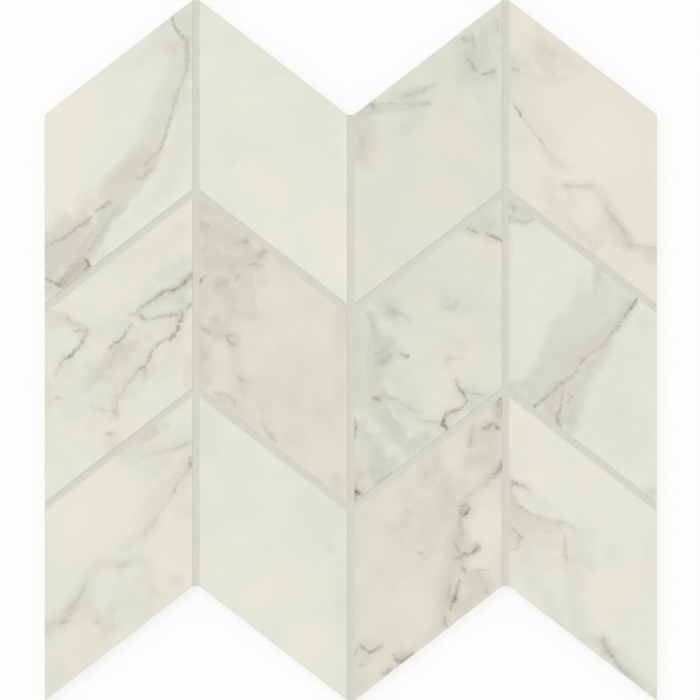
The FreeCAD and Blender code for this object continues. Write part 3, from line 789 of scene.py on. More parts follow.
# %% Design the chip in row 2, column 4
design_chip(
    2, 4,
    ground_tone=(226, 226, 215),
    clouding=0.02,
    lilac=[
        soft((79, 72, 10, 0.45), (84, 68, 7, 0.41), (90, 65.5, 5, 0.3)), soft((79, 65, 5, 0.47), (85, 62.5, 4, 0.31)),
        soft((78, 58, 3, 0.27), (78, 40, 3, 0.14)),
        firm((130, 31, 8, 0.24), (118, 21, 13.5, 0.3), (107, 6, 14, 0.32), (100.5, -8, 12.5, 0.4), (93, -20, 10, 0.42)),
        firm((86, -18, 5, 0.38), (80, -19, 5, 0.38), (86, -25, 6, 0.36)), soft((89, -12, 5, 0.34)),
        soft((138, 24, 6, 0.6), (132, 16, 8, 0.45), (122, 6, 11, 0.38), (112, -4, 11, 0.42), (104, -14, 9, 0.38),
             (96, -20, 9, 0.34)), soft((134, 26, 8, 0.36)), soft((128, 10, 7, 0.34)),
        soft((122, 42, 4.5, 0.5), (121.5, 34, 4.7, 0.49), (120, 27, 4.5, 0.34)), soft((114, 35, 9, 0.17)),
        soft((128, 5, 7, 0.2), (122, -4, 7, 0.5), (115.4, -11, 8, 0.48), (112.4, -19, 7, 0.4), (108, -33, 9, 0.58),
             (108, -39, 5, 0.4)),
        soft((97, -30, 6, 0.4), (103, -35, 6, 0.4)), soft((111.5, -28, 6, 0.2)),
        soft((106, -18, 4, 0.27), (107.4, -14, 4, 0.24)), soft((106.5, -13.5, 5, 0.46)),
        soft((148, -70, 5, 0.42)), soft((136, 0, 14, 0.06), (131, -45, 20, 0.08)), soft((143, 14, 8, 0.12)),
        soft((130, 21.5, 5, 0.27)),
        soft((92, -24, 5, 0.3)),
    ],
    rose=[
        soft((99, -27, 8, 0.56), (103, -22, 9, 0.56), (108, -17, 6, 0.42)), soft((101, -31, 6, 0.46)),
        soft((120, 3, 12, 0.22), (108, -5, 10, 0.2)),
    ],
    pale=[soft((111, -26, 4, 0.15))],
    vein=[
        soft((141, 26, 1.23, 0.34), (139.5, 23.5, 1.35, 0.54), (137.7, 20.5, 1.45, 0.42), (135.4, 17.3, 1.5, 0.23),
             (133, 14.3, 1.58, 0.18), (130.5, 10.8, 1.94, 0.24), (128, 7.2, 1.94, 0.2), (124.5, 2.7, 1.94, 0.16),
             (120, 0.1, 1.5, 0.14), (116.7, -2.5, 1.23, 0.11), (114.3, -4.7, 2.11, 0.2), (113, -6.7, 1.58, 0.18)),
        soft((111.5, -10, 1.5, 0.17), (109, -13, 1.76, 0.2), (105, -14.7, 1.5, 0.22), (102, -17, 1.76, 0.2),
             (99.5, -19.7, 1.41, 0.21), (96.5, -22.7, 1.32, 0.23), (94, -25, 1.41, 0.27), (90.3, -27.3, 1.58, 0.36)),
        soft((104.5, -20, 1.06, 0.12), (103.5, -27, 1.23, 0.25), (102, -31, 1.23, 0.28), (101.3, -33.8, 1.76, 0.37),
             (103, -37, 1.41, 0.37)),
        soft((107.5, -21.5, 1.23, 0.19), (108.8, -23, 1.41, 0.28), (107.5, -25.3, 1.23, 0.19)),
        soft((80, 70.5, 2.29, 0.25), (80.5, 68.5, 1.58, 0.15)), soft((78.5, 66, 2.4, 0.2)),
        soft((82, 63.6, 1.4, 0.17), (87.5, 63, 1.5, 0.17), (90, 65, 1.41, 0.19)),
        soft((88, -14, 1.41, 0.1), (86.5, -17, 1.3, 0.08)),
    ],
)

# %% [markdown]
# ### Row 3, column 1
# A faint warm drift runs from the top right corner to the lower left, with thin veins near the right edge.

# %% Design the chip in row 3, column 1
design_chip(
    3, 1,
    ground_tone=(226, 225, 212),
    clouding=0.02,
    cream=[soft((-135, -85, 36, 0.5), (-118, -72, 26, 0.4))],
    warm=[
        firm((-98, -40, 5, 0.45), (-103, -42, 5, 0.41)), soft((-91, -37, 5, 0.27)),
        soft((-82, -46, 10, 0.2), (-95, -50, 10, 0.17), (-110, -50, 10, 0.23), (-118, -50, 7, 0.18)),
        soft((-84, -62, 12, 0.27), (-94, -72, 12, 0.22), (-100, -84, 10, 0.18)), soft((-97, -60, 9, 0.12)),
        soft((-97, -83, 6, 0.22), (-101, -89, 6, 0.22), (-107, -94, 6, 0.15), (-113, -98, 6, 0.1)),
        soft((-103, -103, 5, 0.14), (-111, -105, 5, 0.23), (-118, -106, 5, 0.17), (-124, -105, 6, 0.16),
             (-129, -110.5, 6, 0.19), (-131.4, -117.5, 6, 0.26), (-134.4, -125, 7, 0.3), (-139, -131.6, 7, 0.32),
             (-145.5, -134.8, 7, 0.34), (-150, -137, 7, 0.36)),
        soft((-130.5, -124, 7, 0.26), (-129, -129.5, 7, 0.24), (-126, -132, 6, 0.26), (-122, -135, 6, 0.27),
             (-120.5, -141, 6, 0.2)),
        soft((-136, -133.5, 6, 0.2)), soft((-117, -136, 6, 0.32)), soft((-104, -114, 7, 0.17)),
        soft((-113, -107, 4, 0.09), (-112.5, -115, 4, 0.07), (-114, -122, 5, 0.05), (-118, -129, 5, 0.28),
             (-122, -134, 5, 0.28)),
        soft((-101, -105, 7, 0.2), (-99.5, -112, 6, 0.18), (-98.5, -120, 6, 0.17), (-100, -128, 5, 0.16)),
        soft((-85, -113, 6, 0.21)), soft((-83, -79, 9, 0.19)), soft((-91, -54, 9, 0.2)), soft((-128, -143, 8, 0.1)),
        soft((-145, -160, 12, 0.14)), soft((-131, -149, 9, 0.1)),
        soft((-108, -125, 11, 0.14)),
    ],
    beige=[
        soft((-91, -50, 9, 0.08)), soft((-136, -127, 6, 0.28), (-140.5, -131, 5, 0.34)), soft((-112, -105, 4, 0.2)),
        soft((-80, -56, 7, 0.35)),
        soft((-121, -105, 7, 0.12)),
    ],
    vein=[
        soft((-77.9, -45, 1.23, 0.15), (-80.5, -46, 1.41, 0.17), (-85, -47.6, 1.76, 0.16), (-88, -48.3, 1.14, 0.1),
             (-95, -50.5, 1.23, 0.09), (-102, -53, 1.23, 0.05)),
        soft((-79.3, -53.3, 1.58, 0.3), (-79, -55.5, 1.58, 0.32), (-79.2, -57.5, 1.41, 0.22), (-80, -60, 1.41, 0.12)),
        soft((-81, -59, 1.41, 0.07), (-84.5, -64.5, 1.32, 0.1), (-86, -67, 1.23, 0.16), (-87, -69, 1.5, 0.3),
             (-88, -70.8, 1.23, 0.22), (-89, -74, 1.41, 0.1), (-92, -77.5, 1.5, 0.08), (-95.5, -81, 1.5, 0.1),
             (-97.5, -84.5, 1.94, 0.09), (-98.5, -87, 1.76, 0.08), (-102, -90.5, 1.58, 0.07)),
        soft((-108, -104.3, 1.58, 0.05), (-111.5, -105, 2.11, 0.08), (-114.5, -106, 1.58, 0.1)),
        soft((-131.2, -115.8, 1.5, 0.1), (-132, -118.3, 1.94, 0.14), (-133.8, -121, 1.76, 0.14),
             (-138.8, -129, 2.46, 0.1)),
        soft((-140.3, -133.4, 1.41, 0.18), (-142.2, -134.2, 1.6, 0.21)),
        soft((-125, -133.5, 1.76, 0.12)),
    ],
)

# %% [markdown]
# ### Row 3, column 2
# Another quiet chip: cream, with a little cool grey on the right.

# %% Design the chip in row 3, column 2
design_chip(
    3, 2,
    ground_tone=(227, 227, 215),
    clouding=0.02,
    cream=[
        soft((-22, -146, 20, 0.8)), soft((-50, -122, 30, 0.5)), soft((-28, -115, 26, 0.3)), soft((-62, -100, 22, 0.3)),
        soft((-70, -62, 6, 0.3)),
    ],
    cool=[
        soft((-22, -75, 11, 0.08), (-15, -88, 10, 0.12), (-10, -98, 7, 0.18)),
        soft((-8, -77, 9, 0.12), (-4, -95, 9, 0.1), (-5, -115, 9, 0.14), (-4, -140, 7, 0.09)),
        soft((-69, -35, 12, 0.13), (-70, -48, 9, 0.16)), soft((-72, -29, 6, 0.13)), soft((-48, -56, 20, 0.05)),
        soft((-41, -105, 6, 0.05)),
    ],
    vein=[soft((-11.5, -96, 1.58, 0.05), (-9.5, -98, 1.76, 0.06)), soft((-55.5, -128, 1.76, 0.05))],
)

# %% [markdown]
# ### Row 3, column 3
# A warm, busy chip: stained patches down its right side with a string of dark knots, and another string at the
# lower left.

# %% Design the chip in row 3, column 3
design_chip(
    3, 3,
    ground_tone=(221, 219, 205),
    clouding=0.045,
    cream=[
        soft((67, -84, 15, 0.55), (65, -102, 13, 0.4)), soft((70, -73, 6, 0.4)), soft((32, -126, 16, 0.4)),
        soft((50, -54, 7, 0.4)), soft((64.5, -73, 6, 0.5)), soft((10, -157, 6, 0.32)),
    ],
    warm=[
        soft((64, -42, 12, 0.32), (70, -52, 11, 0.3), (60, -55, 8, 0.4)),
        firm((73, -27, 5, 0.36), (73, -33, 4, 0.28)), soft((71, -27, 5, 0.42)),
        soft((43, -50, 5, 0.16), (41, -60, 7, 0.34), (37, -64, 8, 0.32)), soft((29, -71, 7, 0.2)),
        soft((46, -67, 9, 0.38), (49, -75, 10, 0.36), (46, -81, 11, 0.27)),
        soft((38, -76, 12, 0.12), (38, -90, 13, 0.28), (37, -100, 9, 0.18)), soft((12, -74, 6, 0.18)),
        soft((28, -80, 5, 0.3), (26, -88, 5, 0.27), (24, -94, 4, 0.14)),
        soft((54, -76, 7, 0.4), (54, -86, 7, 0.38), (52, -96, 9, 0.45), (50, -108, 9, 0.34), (48, -118, 9, 0.43),
             (46, -128, 7, 0.32), (46, -134, 6, 0.3), (36, -144, 6, 0.14)),
        soft((53.5, -95.5, 5, 0.44)), soft((58, -97, 5, 0.36), (62, -97, 5, 0.42)), soft((55, -109, 4, 0.34)),
        soft((60, -113, 9, 0.41), (66, -115, 7, 0.36), (60, -121, 8, 0.35), (53, -128, 6, 0.26)),
        soft((71, -59, 6, 0.34), (62, -68, 6, 0.14), (56, -73, 6, 0.2)), soft((53, -66, 7, 0.24)),
        soft((67, -38, 7, 0.34)),
        soft((4, -151, 7, 0.12), (5, -166, 7, 0.2)), soft((5, -146, 5, 0.12)), soft((25, -147, 6, 0.22)),
        soft((21, -156, 7, 0.16)), soft((26, -151, 5, 0.42), (31, -147.5, 4, 0.24)), soft((24, -88, 10, 0.26)),
        soft((38, -60, 7, 0.4)),
    ],
    beige=[
        soft((8, -146, 7, 0.27), (14, -146, 6, 0.2)), soft((7, -152, 5, 0.16)), soft((25, -151, 6, 0.46)),
        soft((60, -39, 4, 0.3), (58, -46, 4, 0.25)), soft((54, -92, 7, 0.25)),
        soft((66, -37, 5, 0.33), (72, -38, 4, 0.36)),
    ],
    rose=[soft((55, -104, 6, 0.5)), soft((71, -33, 4, 0.2))],
    vein=[
        soft((73.8, -23, 1.9, 0.84), (72, -25, 1.4, 0.37)),
        soft((73.2, -26, 2.3, 0.28), (73.2, -32, 2.11, 0.19)),
        soft((71.5, -36.5, 1.58, 0.34), (72.4, -38, 1.7, 0.5)),
        soft((65, -38.5, 1.41, 0.24), (67, -37.8, 1.58, 0.28), (69.5, -36, 1.5, 0.28)),
        soft((60, -38, 1.41, 0.12), (59.3, -43, 1.58, 0.15), (58, -48, 1.41, 0.15)),
        soft((74.4, -55.6, 2.3, 0.4), (73, -59, 2.8, 0.39), (71.4, -61, 2.4, 0.24), (69, -62.4, 2.3, 0.18),
             (67, -65, 2.3, 0.13), (64, -67.7, 1.41, 0.08), (60, -69.5, 1.41, 0.1), (57, -72, 1.23, 0.07)),
        soft((54.8, -76.8, 1.8, 0.34), (57.2, -76, 2.1, 0.3), (58.2, -77.4, 2.0, 0.3), (56.8, -79.8, 1.7, 0.56),
             (55.4, -81.2, 1.6, 0.5)),
        soft((54.3, -78, 1.8, 0.33), (54, -82, 1.76, 0.2), (53.6, -86, 2.11, 0.15), (54.2, -90.5, 1.58, 0.12)),
        soft((51.6, -95.2, 1.6, 0.21), (52.8, -97.3, 1.7, 0.24), (53.8, -99.5, 1.4, 0.2)),
        soft((51, -102.5, 1.23, 0.17), (54, -102.3, 1.5, 0.24), (56.2, -100.3, 1.8, 0.46), (58, -100.4, 1.58, 0.34),
             (60.3, -99.7, 1.5, 0.43), (61.8, -97.9, 1.8, 0.5), (61.8, -95.6, 1.5, 0.2), (63.5, -97.3, 1.5, 0.26)),
        soft((55.3, -107, 1.32, 0.25), (56, -108.5, 1.76, 0.4)),
        soft((53.6, -113.8, 1.4, 0.3), (52.9, -116.5, 1.5, 0.25), (51.7, -119.5, 1.5, 0.29), (51.4, -122.6, 2.0, 0.68),
             (50.2, -124.2, 1.9, 0.5), (49.3, -126.6, 1.4, 0.34)),
        soft((49, -116, 1.58, 0.16), (47.5, -119.5, 1.58, 0.14), (48.5, -123, 1.58, 0.16)),
        soft((46, -131.5, 1.5, 0.25), (46.8, -134.3, 1.8, 0.34), (47.8, -135.8, 1.41, 0.28)),
        soft((57.5, -109, 1.06, 0.1), (62, -108.6, 1.14, 0.14), (67.5, -108.4, 1.14, 0.12)),
        soft((67.5, -119, 1.76, 0.22)),
        soft((32, -99, 1.06, 0.09), (35, -100.5, 1.23, 0.2), (36.5, -102, 1.14, 0.19)),
        soft((4.5, -144.8, 1.14, 0.22), (7, -146.6, 1.32, 0.3), (8.8, -148.7, 1.45, 0.43), (11, -148.2, 1.4, 0.34),
             (13, -146.9, 1.32, 0.28), (15.2, -145.4, 1.14, 0.17)),
        soft((2, -150, 1.32, 0.18), (3, -147, 1.23, 0.15)),
        soft((21, -150.2, 1.23, 0.22), (22.7, -152.8, 1.6, 0.44), (25, -152.7, 1.6, 0.42), (27.5, -151.6, 1.5, 0.4),
             (30.3, -149.4, 1.32, 0.34)),
        soft((17, -159, 2.11, 0.34), (19.5, -156.5, 1.58, 0.25)),
        soft((5.5, -155, 1.76, 0.18)),
    ],
)

# %% [markdown]
# ### Row 3, column 4
# A beige and grey patch with thin veins is at the upper left, and a stained line leaves by the lower right corner.

# %% Design the chip in row 3, column 4
design_chip(
    3, 4,
    ground_tone=(229, 228, 216),
    clouding=0.02,
    cream=[soft((132, -85, 20, 0.35)), soft((140, -94, 7, 0.4))],
    cool=[
        soft((80, -66, 5, 0.36), (85, -67, 5, 0.24)), soft((130, -128, 12, 0.07)),
        soft((84, -40, 9, 0.1), (82, -56, 9, 0.1)),
        soft((80, -74, 6, 0.24), (84, -79, 7, 0.2)), soft((87, -72, 8, 0.18), (95, -77, 7, 0.18), (97, -79, 5, 0.16)),
        soft((103, -84, 5, 0.22)), soft((80, -90, 5, 0.28)),
        soft((112, -92, 12, 0.23), (112, -103, 11, 0.27), (111, -112, 10, 0.25), (108, -120, 10, 0.23)),
        soft((118, -90, 7, 0.19)), soft((117, -107, 6, 0.33)), soft((130, -99, 9, 0.14)), soft((90, -116, 8, 0.18)),
        soft((110, -127, 10, 0.2), (113, -137, 10, 0.2)), soft((97, -122, 12, 0.18), (103, -133, 8, 0.25)),
        soft((119, -142, 7, 0.32), (115, -142, 7, 0.22)),
        soft((126, -148.3, 6, 0.3), (132, -154, 6, 0.36), (139.8, -160.7, 6, 0.28), (144, -165, 5, 0.42)),
        soft((133, -149, 7, 0.2), (138, -154.5, 7, 0.2)),
        soft((149, -169, 7, 0.41)),
        soft((86, -101, 6, 0.2)),
        soft((148, -98, 8, 0.1), (148, -115, 8, 0.12)),
    ],
    beige=[
        firm((80, -73, 4, 0.3), (81, -82, 7, 0.42), (90, -86, 7, 0.4), (99, -87, 6, 0.3)),
        soft((80, -92, 10, 0.36), (88, -93, 9, 0.34), (97, -94, 9, 0.26), (103, -96, 7, 0.28)),
        soft((82, -105, 12, 0.13), (96, -105, 12, 0.15), (106, -104, 8, 0.2)), soft((86, -97, 6, 0.2)),
    ],
    rose=[soft((124.3, -143, 5, 0.58), (126.3, -147.7, 5, 0.58))],
    vein=[
        soft((78, -62.6, 1.76, 0.2), (80, -65, 1.94, 0.31), (82.5, -65.9, 1.94, 0.27), (85.5, -67, 1.58, 0.28),
             (88, -69, 1.23, 0.17)),
        soft((78.5, -66, 1.58, 0.17), (79, -71, 1.58, 0.09), (81, -75, 1.41, 0.09)),
        soft((82, -76.4, 1.5, 0.22), (84.5, -77.2, 1.41, 0.19)),
        soft((84, -77.6, 1.9, 0.16), (90, -81.1, 2.0, 0.13), (95, -83.3, 2.1, 0.11), (100, -84.1, 1.94, 0.08),
             (103.5, -84.4, 1.23, 0.1), (107, -86, 1.23, 0.14), (110, -88, 1.06, 0.1)),
        soft((103.5, -88, 1.06, 0.06), (105.3, -92, 1.06, 0.09), (105.8, -97, 1.06, 0.13), (105.8, -100.5, 1.32, 0.25),
             (106.8, -103.3, 1.06, 0.15)),
        soft((79, -87, 1.5, 0.16), (81.5, -89.5, 1.5, 0.16), (84, -92, 1.6, 0.25), (82.5, -94, 1.5, 0.22)),
        soft((79, -98, 1.23, 0.17), (81.5, -97.8, 1.23, 0.17), (83, -95.5, 1.14, 0.1)),
        soft((124.1, -142.3, 2.0, 0.15), (126.5, -147.6, 2.0, 0.19), (128.2, -150.6, 1.6, 0.24),
             (129.3, -151.6, 1.6, 0.38)),
        soft((129.6, -152.8, 1.76, 0.28), (133, -156.8, 2.2, 0.24), (137.2, -160.1, 2.1, 0.18),
             (140.8, -163.3, 1.76, 0.12)),
    ],
)

# %% [markdown]
# ## The fired chip
# The print lies on the face only. Below the eased edge the porcelain body shows, an off-white, slightly sandy
# material. Two materials would meet in a hard seam, so one does both, and a mask on height blends them. Over the
# eased edge the print is painted lighter. This is painted light that makes up for the shade the rounded edge gets.
# The face has a satin glaze with a faint orange-peel ripple, and the body is duller and rougher. All of that is one
# group, used by every chip.

# %% The face and body group
GLAZE_LINE = (face_level - 1.3 * MM, face_level - 0.8 * MM)
EASED_EDGE = (face_level - 0.45 * MM, face_level - 0.08 * MM)
EDGE_PAINTED_LIGHT = 1.18
PEEL_SCALE, GRIT_SCALE = 0.7, 1.6  # noise cells per mm
FACE_ROUGHNESS, PEEL_ROUGHNESS, PEEL_HEIGHT = 0.30, 0.12, 0.12
BODY_ROUGHNESS, GRIT_ROUGHNESS = 0.6, 0.2


def tone(red, green, blue):
    """Linear colour of one that a picture shows from 0 to 255: (v + 0.055) / 1.055 to the power 2.4."""
    shown = np.array([red, green, blue]) / 255
    return (*((shown + 0.055) / 1.055) ** 2.4, 1.0)


fired, given, result = new_group(
    "Fired chip", {"Print": "Color"}, {"Color": "Color", "Roughness": "Float", "Height": "Float"}
)
here = fired.nodes.new("ShaderNodeTexCoord").outputs["Object"]
height = add(fired, "ShaderNodeSeparateXYZ", {0: here}).outputs["Z"]
on_face = smooth_step(fired, height, *GLAZE_LINE)
in_mm = vector_node(fired, "MULTIPLY", here, (1 / MM, 1 / MM, 1 / MM))
grit = noise(fired, in_mm, GRIT_SCALE, detail=3.0, roughness=0.7).outputs["Fac"]
body = blend(fired, grit, tone(206, 201, 188), tone(232, 228, 217))
# painted light: the print is lighter over the eased edge, to make up for the shade that edge gets
edge_painted_light = smooth_step(fired, height, *EASED_EDGE, EDGE_PAINTED_LIGHT, 1.0)
print_with_painted_edge_light = scaled(fired, given["Print"], edge_painted_light)
fired.links.new(blend(fired, on_face, body, print_with_painted_edge_light), result["Color"])
peel = noise(fired, in_mm, PEEL_SCALE).outputs["Fac"]
face_roughness = math_node(fired, "MULTIPLY_ADD", peel, PEEL_ROUGHNESS, FACE_ROUGHNESS)
body_roughness = math_node(fired, "MULTIPLY_ADD", grit, GRIT_ROUGHNESS, BODY_ROUGHNESS)
face_part = math_node(fired, "MULTIPLY", face_roughness, on_face)
off_face = math_node(fired, "SUBTRACT", 1.0, on_face)
fired.links.new(math_node(fired, "MULTIPLY_ADD", body_roughness, off_face, face_part), result["Roughness"])
face_height = math_node(fired, "MULTIPLY", math_node(fired, "MULTIPLY", peel, PEEL_HEIGHT), on_face)
fired.links.new(math_node(fired, "MULTIPLY_ADD", grit, off_face, face_height), result["Height"])
print("group:", fired.name)

# %% [markdown]
# ## One printed material for each chip
# Each chip gets a material of its own, because its print is its own. The tree is built by walking along the
# strokes: every pair of neighbouring points becomes one placed stroke group, chained to the one before. The veins'
# halo is laid just before the veins, as a weaker ink of its own tone.

# %% The inks, and how a group is placed
INKS = {
    # name: (tone, drift of the bent space in mm, its ripple, wear, wear scale per mm, grain, grain scale per mm)
    "cream": (tone(234, 232, 217), 8.0, 3.0, 0.6, 0.06, 0.4, 0.15),
    "warm": (tone(187, 184, 168), 4.0, 2.2, 0.7, 0.18, 0.9, 0.25),
    "cool": (tone(187, 188, 176), 4.0, 2.2, 0.8, 0.18, 1.0, 0.25),
    "lilac": (tone(187, 187, 178), 3.0, 2.0, 0.7, 0.18, 1.0, 0.25),
    "beige": (tone(198, 188, 168), 2.5, 2.0, 0.9, 0.25, 1.2, 0.35),
    "rose": (tone(200, 190, 182), 2.5, 2.0, 0.8, 0.25, 1.0, 0.35),
    "pale": (tone(229, 229, 218), 2.5, 2.0, 0.8, 0.25, 0.6, 0.30),
    "vein": (tone(92, 85, 67), 1.5, 1.7, 1.7, 0.40, 3.4, 0.45),
}
HALO_TONE, HALO_INK, HALO_GRAIN, HALO_GRAIN_SCALE = tone(172, 169, 151), 0.36, 1.2, 0.35
DOT_LENGTH = 0.01  # mm, of a stroke with one point


def place(tree, group, **inputs):
    """Places a group in a tree. Input names are written with underscores for spaces."""
    node = tree.nodes.new("ShaderNodeGroup")
    node.node_tree = group
    for key, value in inputs.items():
        fill(tree, node.inputs[key.replace("_", " ")], value)
    return node.outputs


print("inks:", ", ".join(INKS))


# %% Build a printed material
def ink_of(tree, point, wear, strokes):
    """Chains the strokes of one ink and returns the strength of the ink and of its halo over the face."""
    ink = halo = 0.0
    for firmness, points in strokes:
        pairs = zip(points, points[1:]) if len(points) > 1 else [(points[0], points[0])]
        for (x, y, start_reach, start_ink), (end_x, end_y, end_reach, end_ink) in pairs:
            if (x, y) == (end_x, end_y):
                end_x += DOT_LENGTH
            laid = place(
                tree, stroke, Point=point, Wear=wear, Start=(x, y, 0), End=(end_x, end_y, 0),
                Start_reach=start_reach, End_reach=end_reach, Start_ink=start_ink, End_ink=end_ink, Firm=firmness,
                Ink_before=ink, Halo_before=halo,
            )
            ink, halo = laid["Ink"], laid["Halo"]
    return ink, halo


def printed_material(node_name):
    """Material of one chip: ground, inks in order, then the fired face and body."""
    ground_tone, clouding, inks = designs[node_name]
    material, tree, shader = new_material("print_" + node_name)
    plain = place(tree, bent_space, Drift=0.0, Ripple=0.0)["Point"]
    color = place(tree, ground, Point=plain, Tone=tone(*ground_tone), Clouding=clouding)["Print"]
    for name, (ink_tone, drift_mm, ripple_mm, wear, wear_scale, grain, grain_scale) in INKS.items():
        if name in inks:
            point = place(tree, bent_space, Drift=drift_mm, Ripple=ripple_mm)["Point"]
            worn = place(tree, wearing, Point=plain, Wear=wear, Scale=wear_scale)["Wear"]
            ink, halo = ink_of(tree, point, worn, inks[name])
            if name == "vein":
                color = place(
                    tree, inking, Point=plain, Print=color, Ink=math_node(tree, "MULTIPLY", halo, HALO_INK),
                    Tone=HALO_TONE, Grain=HALO_GRAIN, Grain_scale=HALO_GRAIN_SCALE,
                )["Print"]
            color = place(
                tree, inking, Point=plain, Print=color, Ink=ink, Tone=ink_tone, Grain=grain, Grain_scale=grain_scale
            )["Print"]
    chip = place(tree, fired, Print=color)
    tree.links.new(chip["Color"], shader.inputs["Base Color"])
    tree.links.new(chip["Roughness"], shader.inputs["Roughness"])
    bump = add(tree, "ShaderNodeBump", {"Height": chip["Height"], "Strength": 0.25, "Distance": 0.05 * MM})
    tree.links.new(bump.outputs[0], shader.inputs["Normal"])
    return material


# %% [markdown]
# ## Chips with eased edges
# A bevel on the solid would ease a chip's edges, but every edge alike, and the face would stay dead flat. So each
# chip is worked out anew on the outline of its solid. It is two sheets over one grid, stitched along their rim. The
# grid runs from side to side (u) and up the slanted rhomboid (v). The upper sheet is the face: it drops along a
# quarter round at all four edges. The lower sheet is the back: it rises into the keying grooves. Grid lines are
# placed where the shape turns, so few are needed.

# %% Places and drops over a chip
ARRIS = 0.5 * MM
ARRIS_STEPS = 6
GROOVE_WIDTH, GROOVE_DEPTH, GROOVE_TAPER, RIB_WIDTH = 5.0 * MM, 0.7 * MM, 0.4 * MM, 4.4 * MM
DECIMALS = 8  # of a metre, below which two grid lines are one


def graded(width, count, radius):
    """Places across a face: close over the rounded edges, where d = radius (1 - cos a), and even between."""
    turn = radius * (1 - np.cos(np.linspace(0, math.pi / 2, ARRIS_STEPS)))
    places = np.concatenate([turn, np.linspace(radius, width - radius, count), width - turn])
    return np.unique(np.round(places, DECIMALS))


def edge_drop(distance, radius):
    """How far the face has dropped at a distance from its edge: radius - sqrt(radius^2 - (radius - d)^2)."""
    inside = np.clip(radius - distance, 0, radius)
    return radius - np.sqrt(np.maximum(radius**2 - inside**2, 0))


def groove_corners(width):
    """Places across a chip where the back turns: the four corners of each tapered groove."""
    count = int((width - RIB_WIDTH) // (GROOVE_WIDTH + RIB_WIDTH))
    margin = (width - count * (GROOVE_WIDTH + RIB_WIDTH) + RIB_WIDTH) / 2
    left = margin + np.arange(count) * (GROOVE_WIDTH + RIB_WIDTH)
    corners = [left, left + GROOVE_TAPER, left + GROOVE_WIDTH - GROOVE_TAPER, left + GROOVE_WIDTH]
    return np.stack(corners, axis=1).ravel()


print("grooves on each back:", len(groove_corners(chip_width)) // 4)

# %% [markdown]
# Pressed and fired tile is never quite flat, and its edges are never quite even. A slow swell does both. It is a sum
# of a few long sine waves, whose directions and phases are drawn from a numbered seed, so each chip has its own
# and every run gives the same.

# %% Shape a chip
WAVES, WAVE_LENGTHS = 6, (0.02, 0.05)
ARRIS_WEAR = 0.15
FACE_SWELL = 0.025 * MM
SWELL_SEED = 100
FACE_COLUMNS, FACE_ROWS = 25, 36


def rolling(x, y, seed):
    """Slow swell between -1 and 1: the mean of sines with drawn directions, lengths and phases."""
    random = np.random.default_rng(seed)
    total = np.zeros_like(x)
    for _ in range(WAVES):
        angle, phase = random.uniform(0, 2 * math.pi, 2)
        wave = random.uniform(*WAVE_LENGTHS)
        total += np.sin(2 * math.pi * (x * math.cos(angle) + y * math.sin(angle)) / wave + phase)
    return total / WAVES


def grid_faces(columns, rows, start=0):
    """Quads over a grid whose vertex (i, j) has number start + i rows + j, turning left as i and then j grow."""
    i, j = np.meshgrid(np.arange(columns - 1), np.arange(rows - 1), indexing="ij")
    corner = start + i * rows + j
    return np.stack([corner, corner + rows, corner + rows + 1, corner + 1], axis=-1).reshape(-1, 4)


def shape_chip(node_name, climbs, seed):
    """Face and back sheets of one chip on the grid (u, v), and the quads of its rim.

    x = left + u, y = foot + climb tan(slant) u + v, where v runs up the upright side. The face is at
    the face level less the larger drop of the two nearest edges, and the back at the mesh plus the groove.
    """
    low, high = np.array(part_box(node_name))
    corners = groove_corners(chip_width)
    u = np.unique(np.round(np.concatenate([graded(chip_width, FACE_COLUMNS, ARRIS), corners]), DECIMALS))
    v = graded(chip_side, FACE_ROWS, ARRIS / math.cos(SLANT))
    across, up = np.meshgrid(u, v, indexing="ij")
    slope = math.tan(SLANT) if climbs else -math.tan(SLANT)
    foot = low[1] if climbs else low[1] + rise
    x, y = low[0] + across, foot + slope * across + up
    arris = ARRIS * (1 - ARRIS_WEAR + ARRIS_WEAR * rolling(x, y, seed))
    from_side = np.minimum(across, chip_width - across)
    from_end = np.minimum(up, chip_side - up) * math.cos(SLANT)
    drop = np.maximum(edge_drop(from_side, arris), edge_drop(from_end, arris))
    swell = FACE_SWELL * (1 + rolling(x, y, seed + SWELL_SEED)) * (drop == 0)
    groove = np.interp(u, corners, np.tile([0, 1, 1, 0], len(corners) // 4)) * GROOVE_DEPTH
    face = np.stack([x, y, high[2] - drop - swell], axis=-1)
    back = np.stack([x, y, low[2] + np.broadcast_to(groove[:, None], x.shape)], axis=-1)
    n, m = x.shape
    rim = np.concatenate([
        np.arange(n) * m,
        (n - 1) * m + np.arange(1, m),
        np.arange(n - 2, -1, -1) * m + m - 1,
        np.arange(m - 2, 0, -1),
    ])
    after = np.roll(rim, -1)
    walls = np.stack([rim + n * m, after + n * m, after, rim], axis=-1)
    quads = np.concatenate([grid_faces(n, m), grid_faces(n, m, n * m)[:, ::-1], walls])
    return np.stack([face, back]), quads


# %% Make the twelve chips
def add_piece(name, vertices, faces, crease_degrees=30):
    """Makes a mesh object at the origin, shaded smooth but for creases over the given angle."""
    mesh = bpy.data.meshes.new(name)
    mesh.from_pydata(vertices, [], faces)
    mesh.validate()
    mesh.shade_smooth()
    mesh.set_sharp_from_angle(angle=math.radians(crease_degrees))
    piece = bpy.data.objects.new(name, mesh)
    bpy.context.scene.collection.objects.link(piece)
    return piece


for row in range(1, ROWS + 1):
    for column in range(1, COLUMNS + 1):
        node_name = chip_node(row, column)
        vertices, quads = shape_chip(node_name, column % 2 == 1, 10 * row + column)
        piece = add_piece(f"printed_{node_name}", vertices.reshape(-1, 3), quads.tolist())
        piece.data.materials.append(printed_material(node_name))
        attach(piece, "root")
        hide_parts(node_name)
print("each chip has", len(quads), "quads")
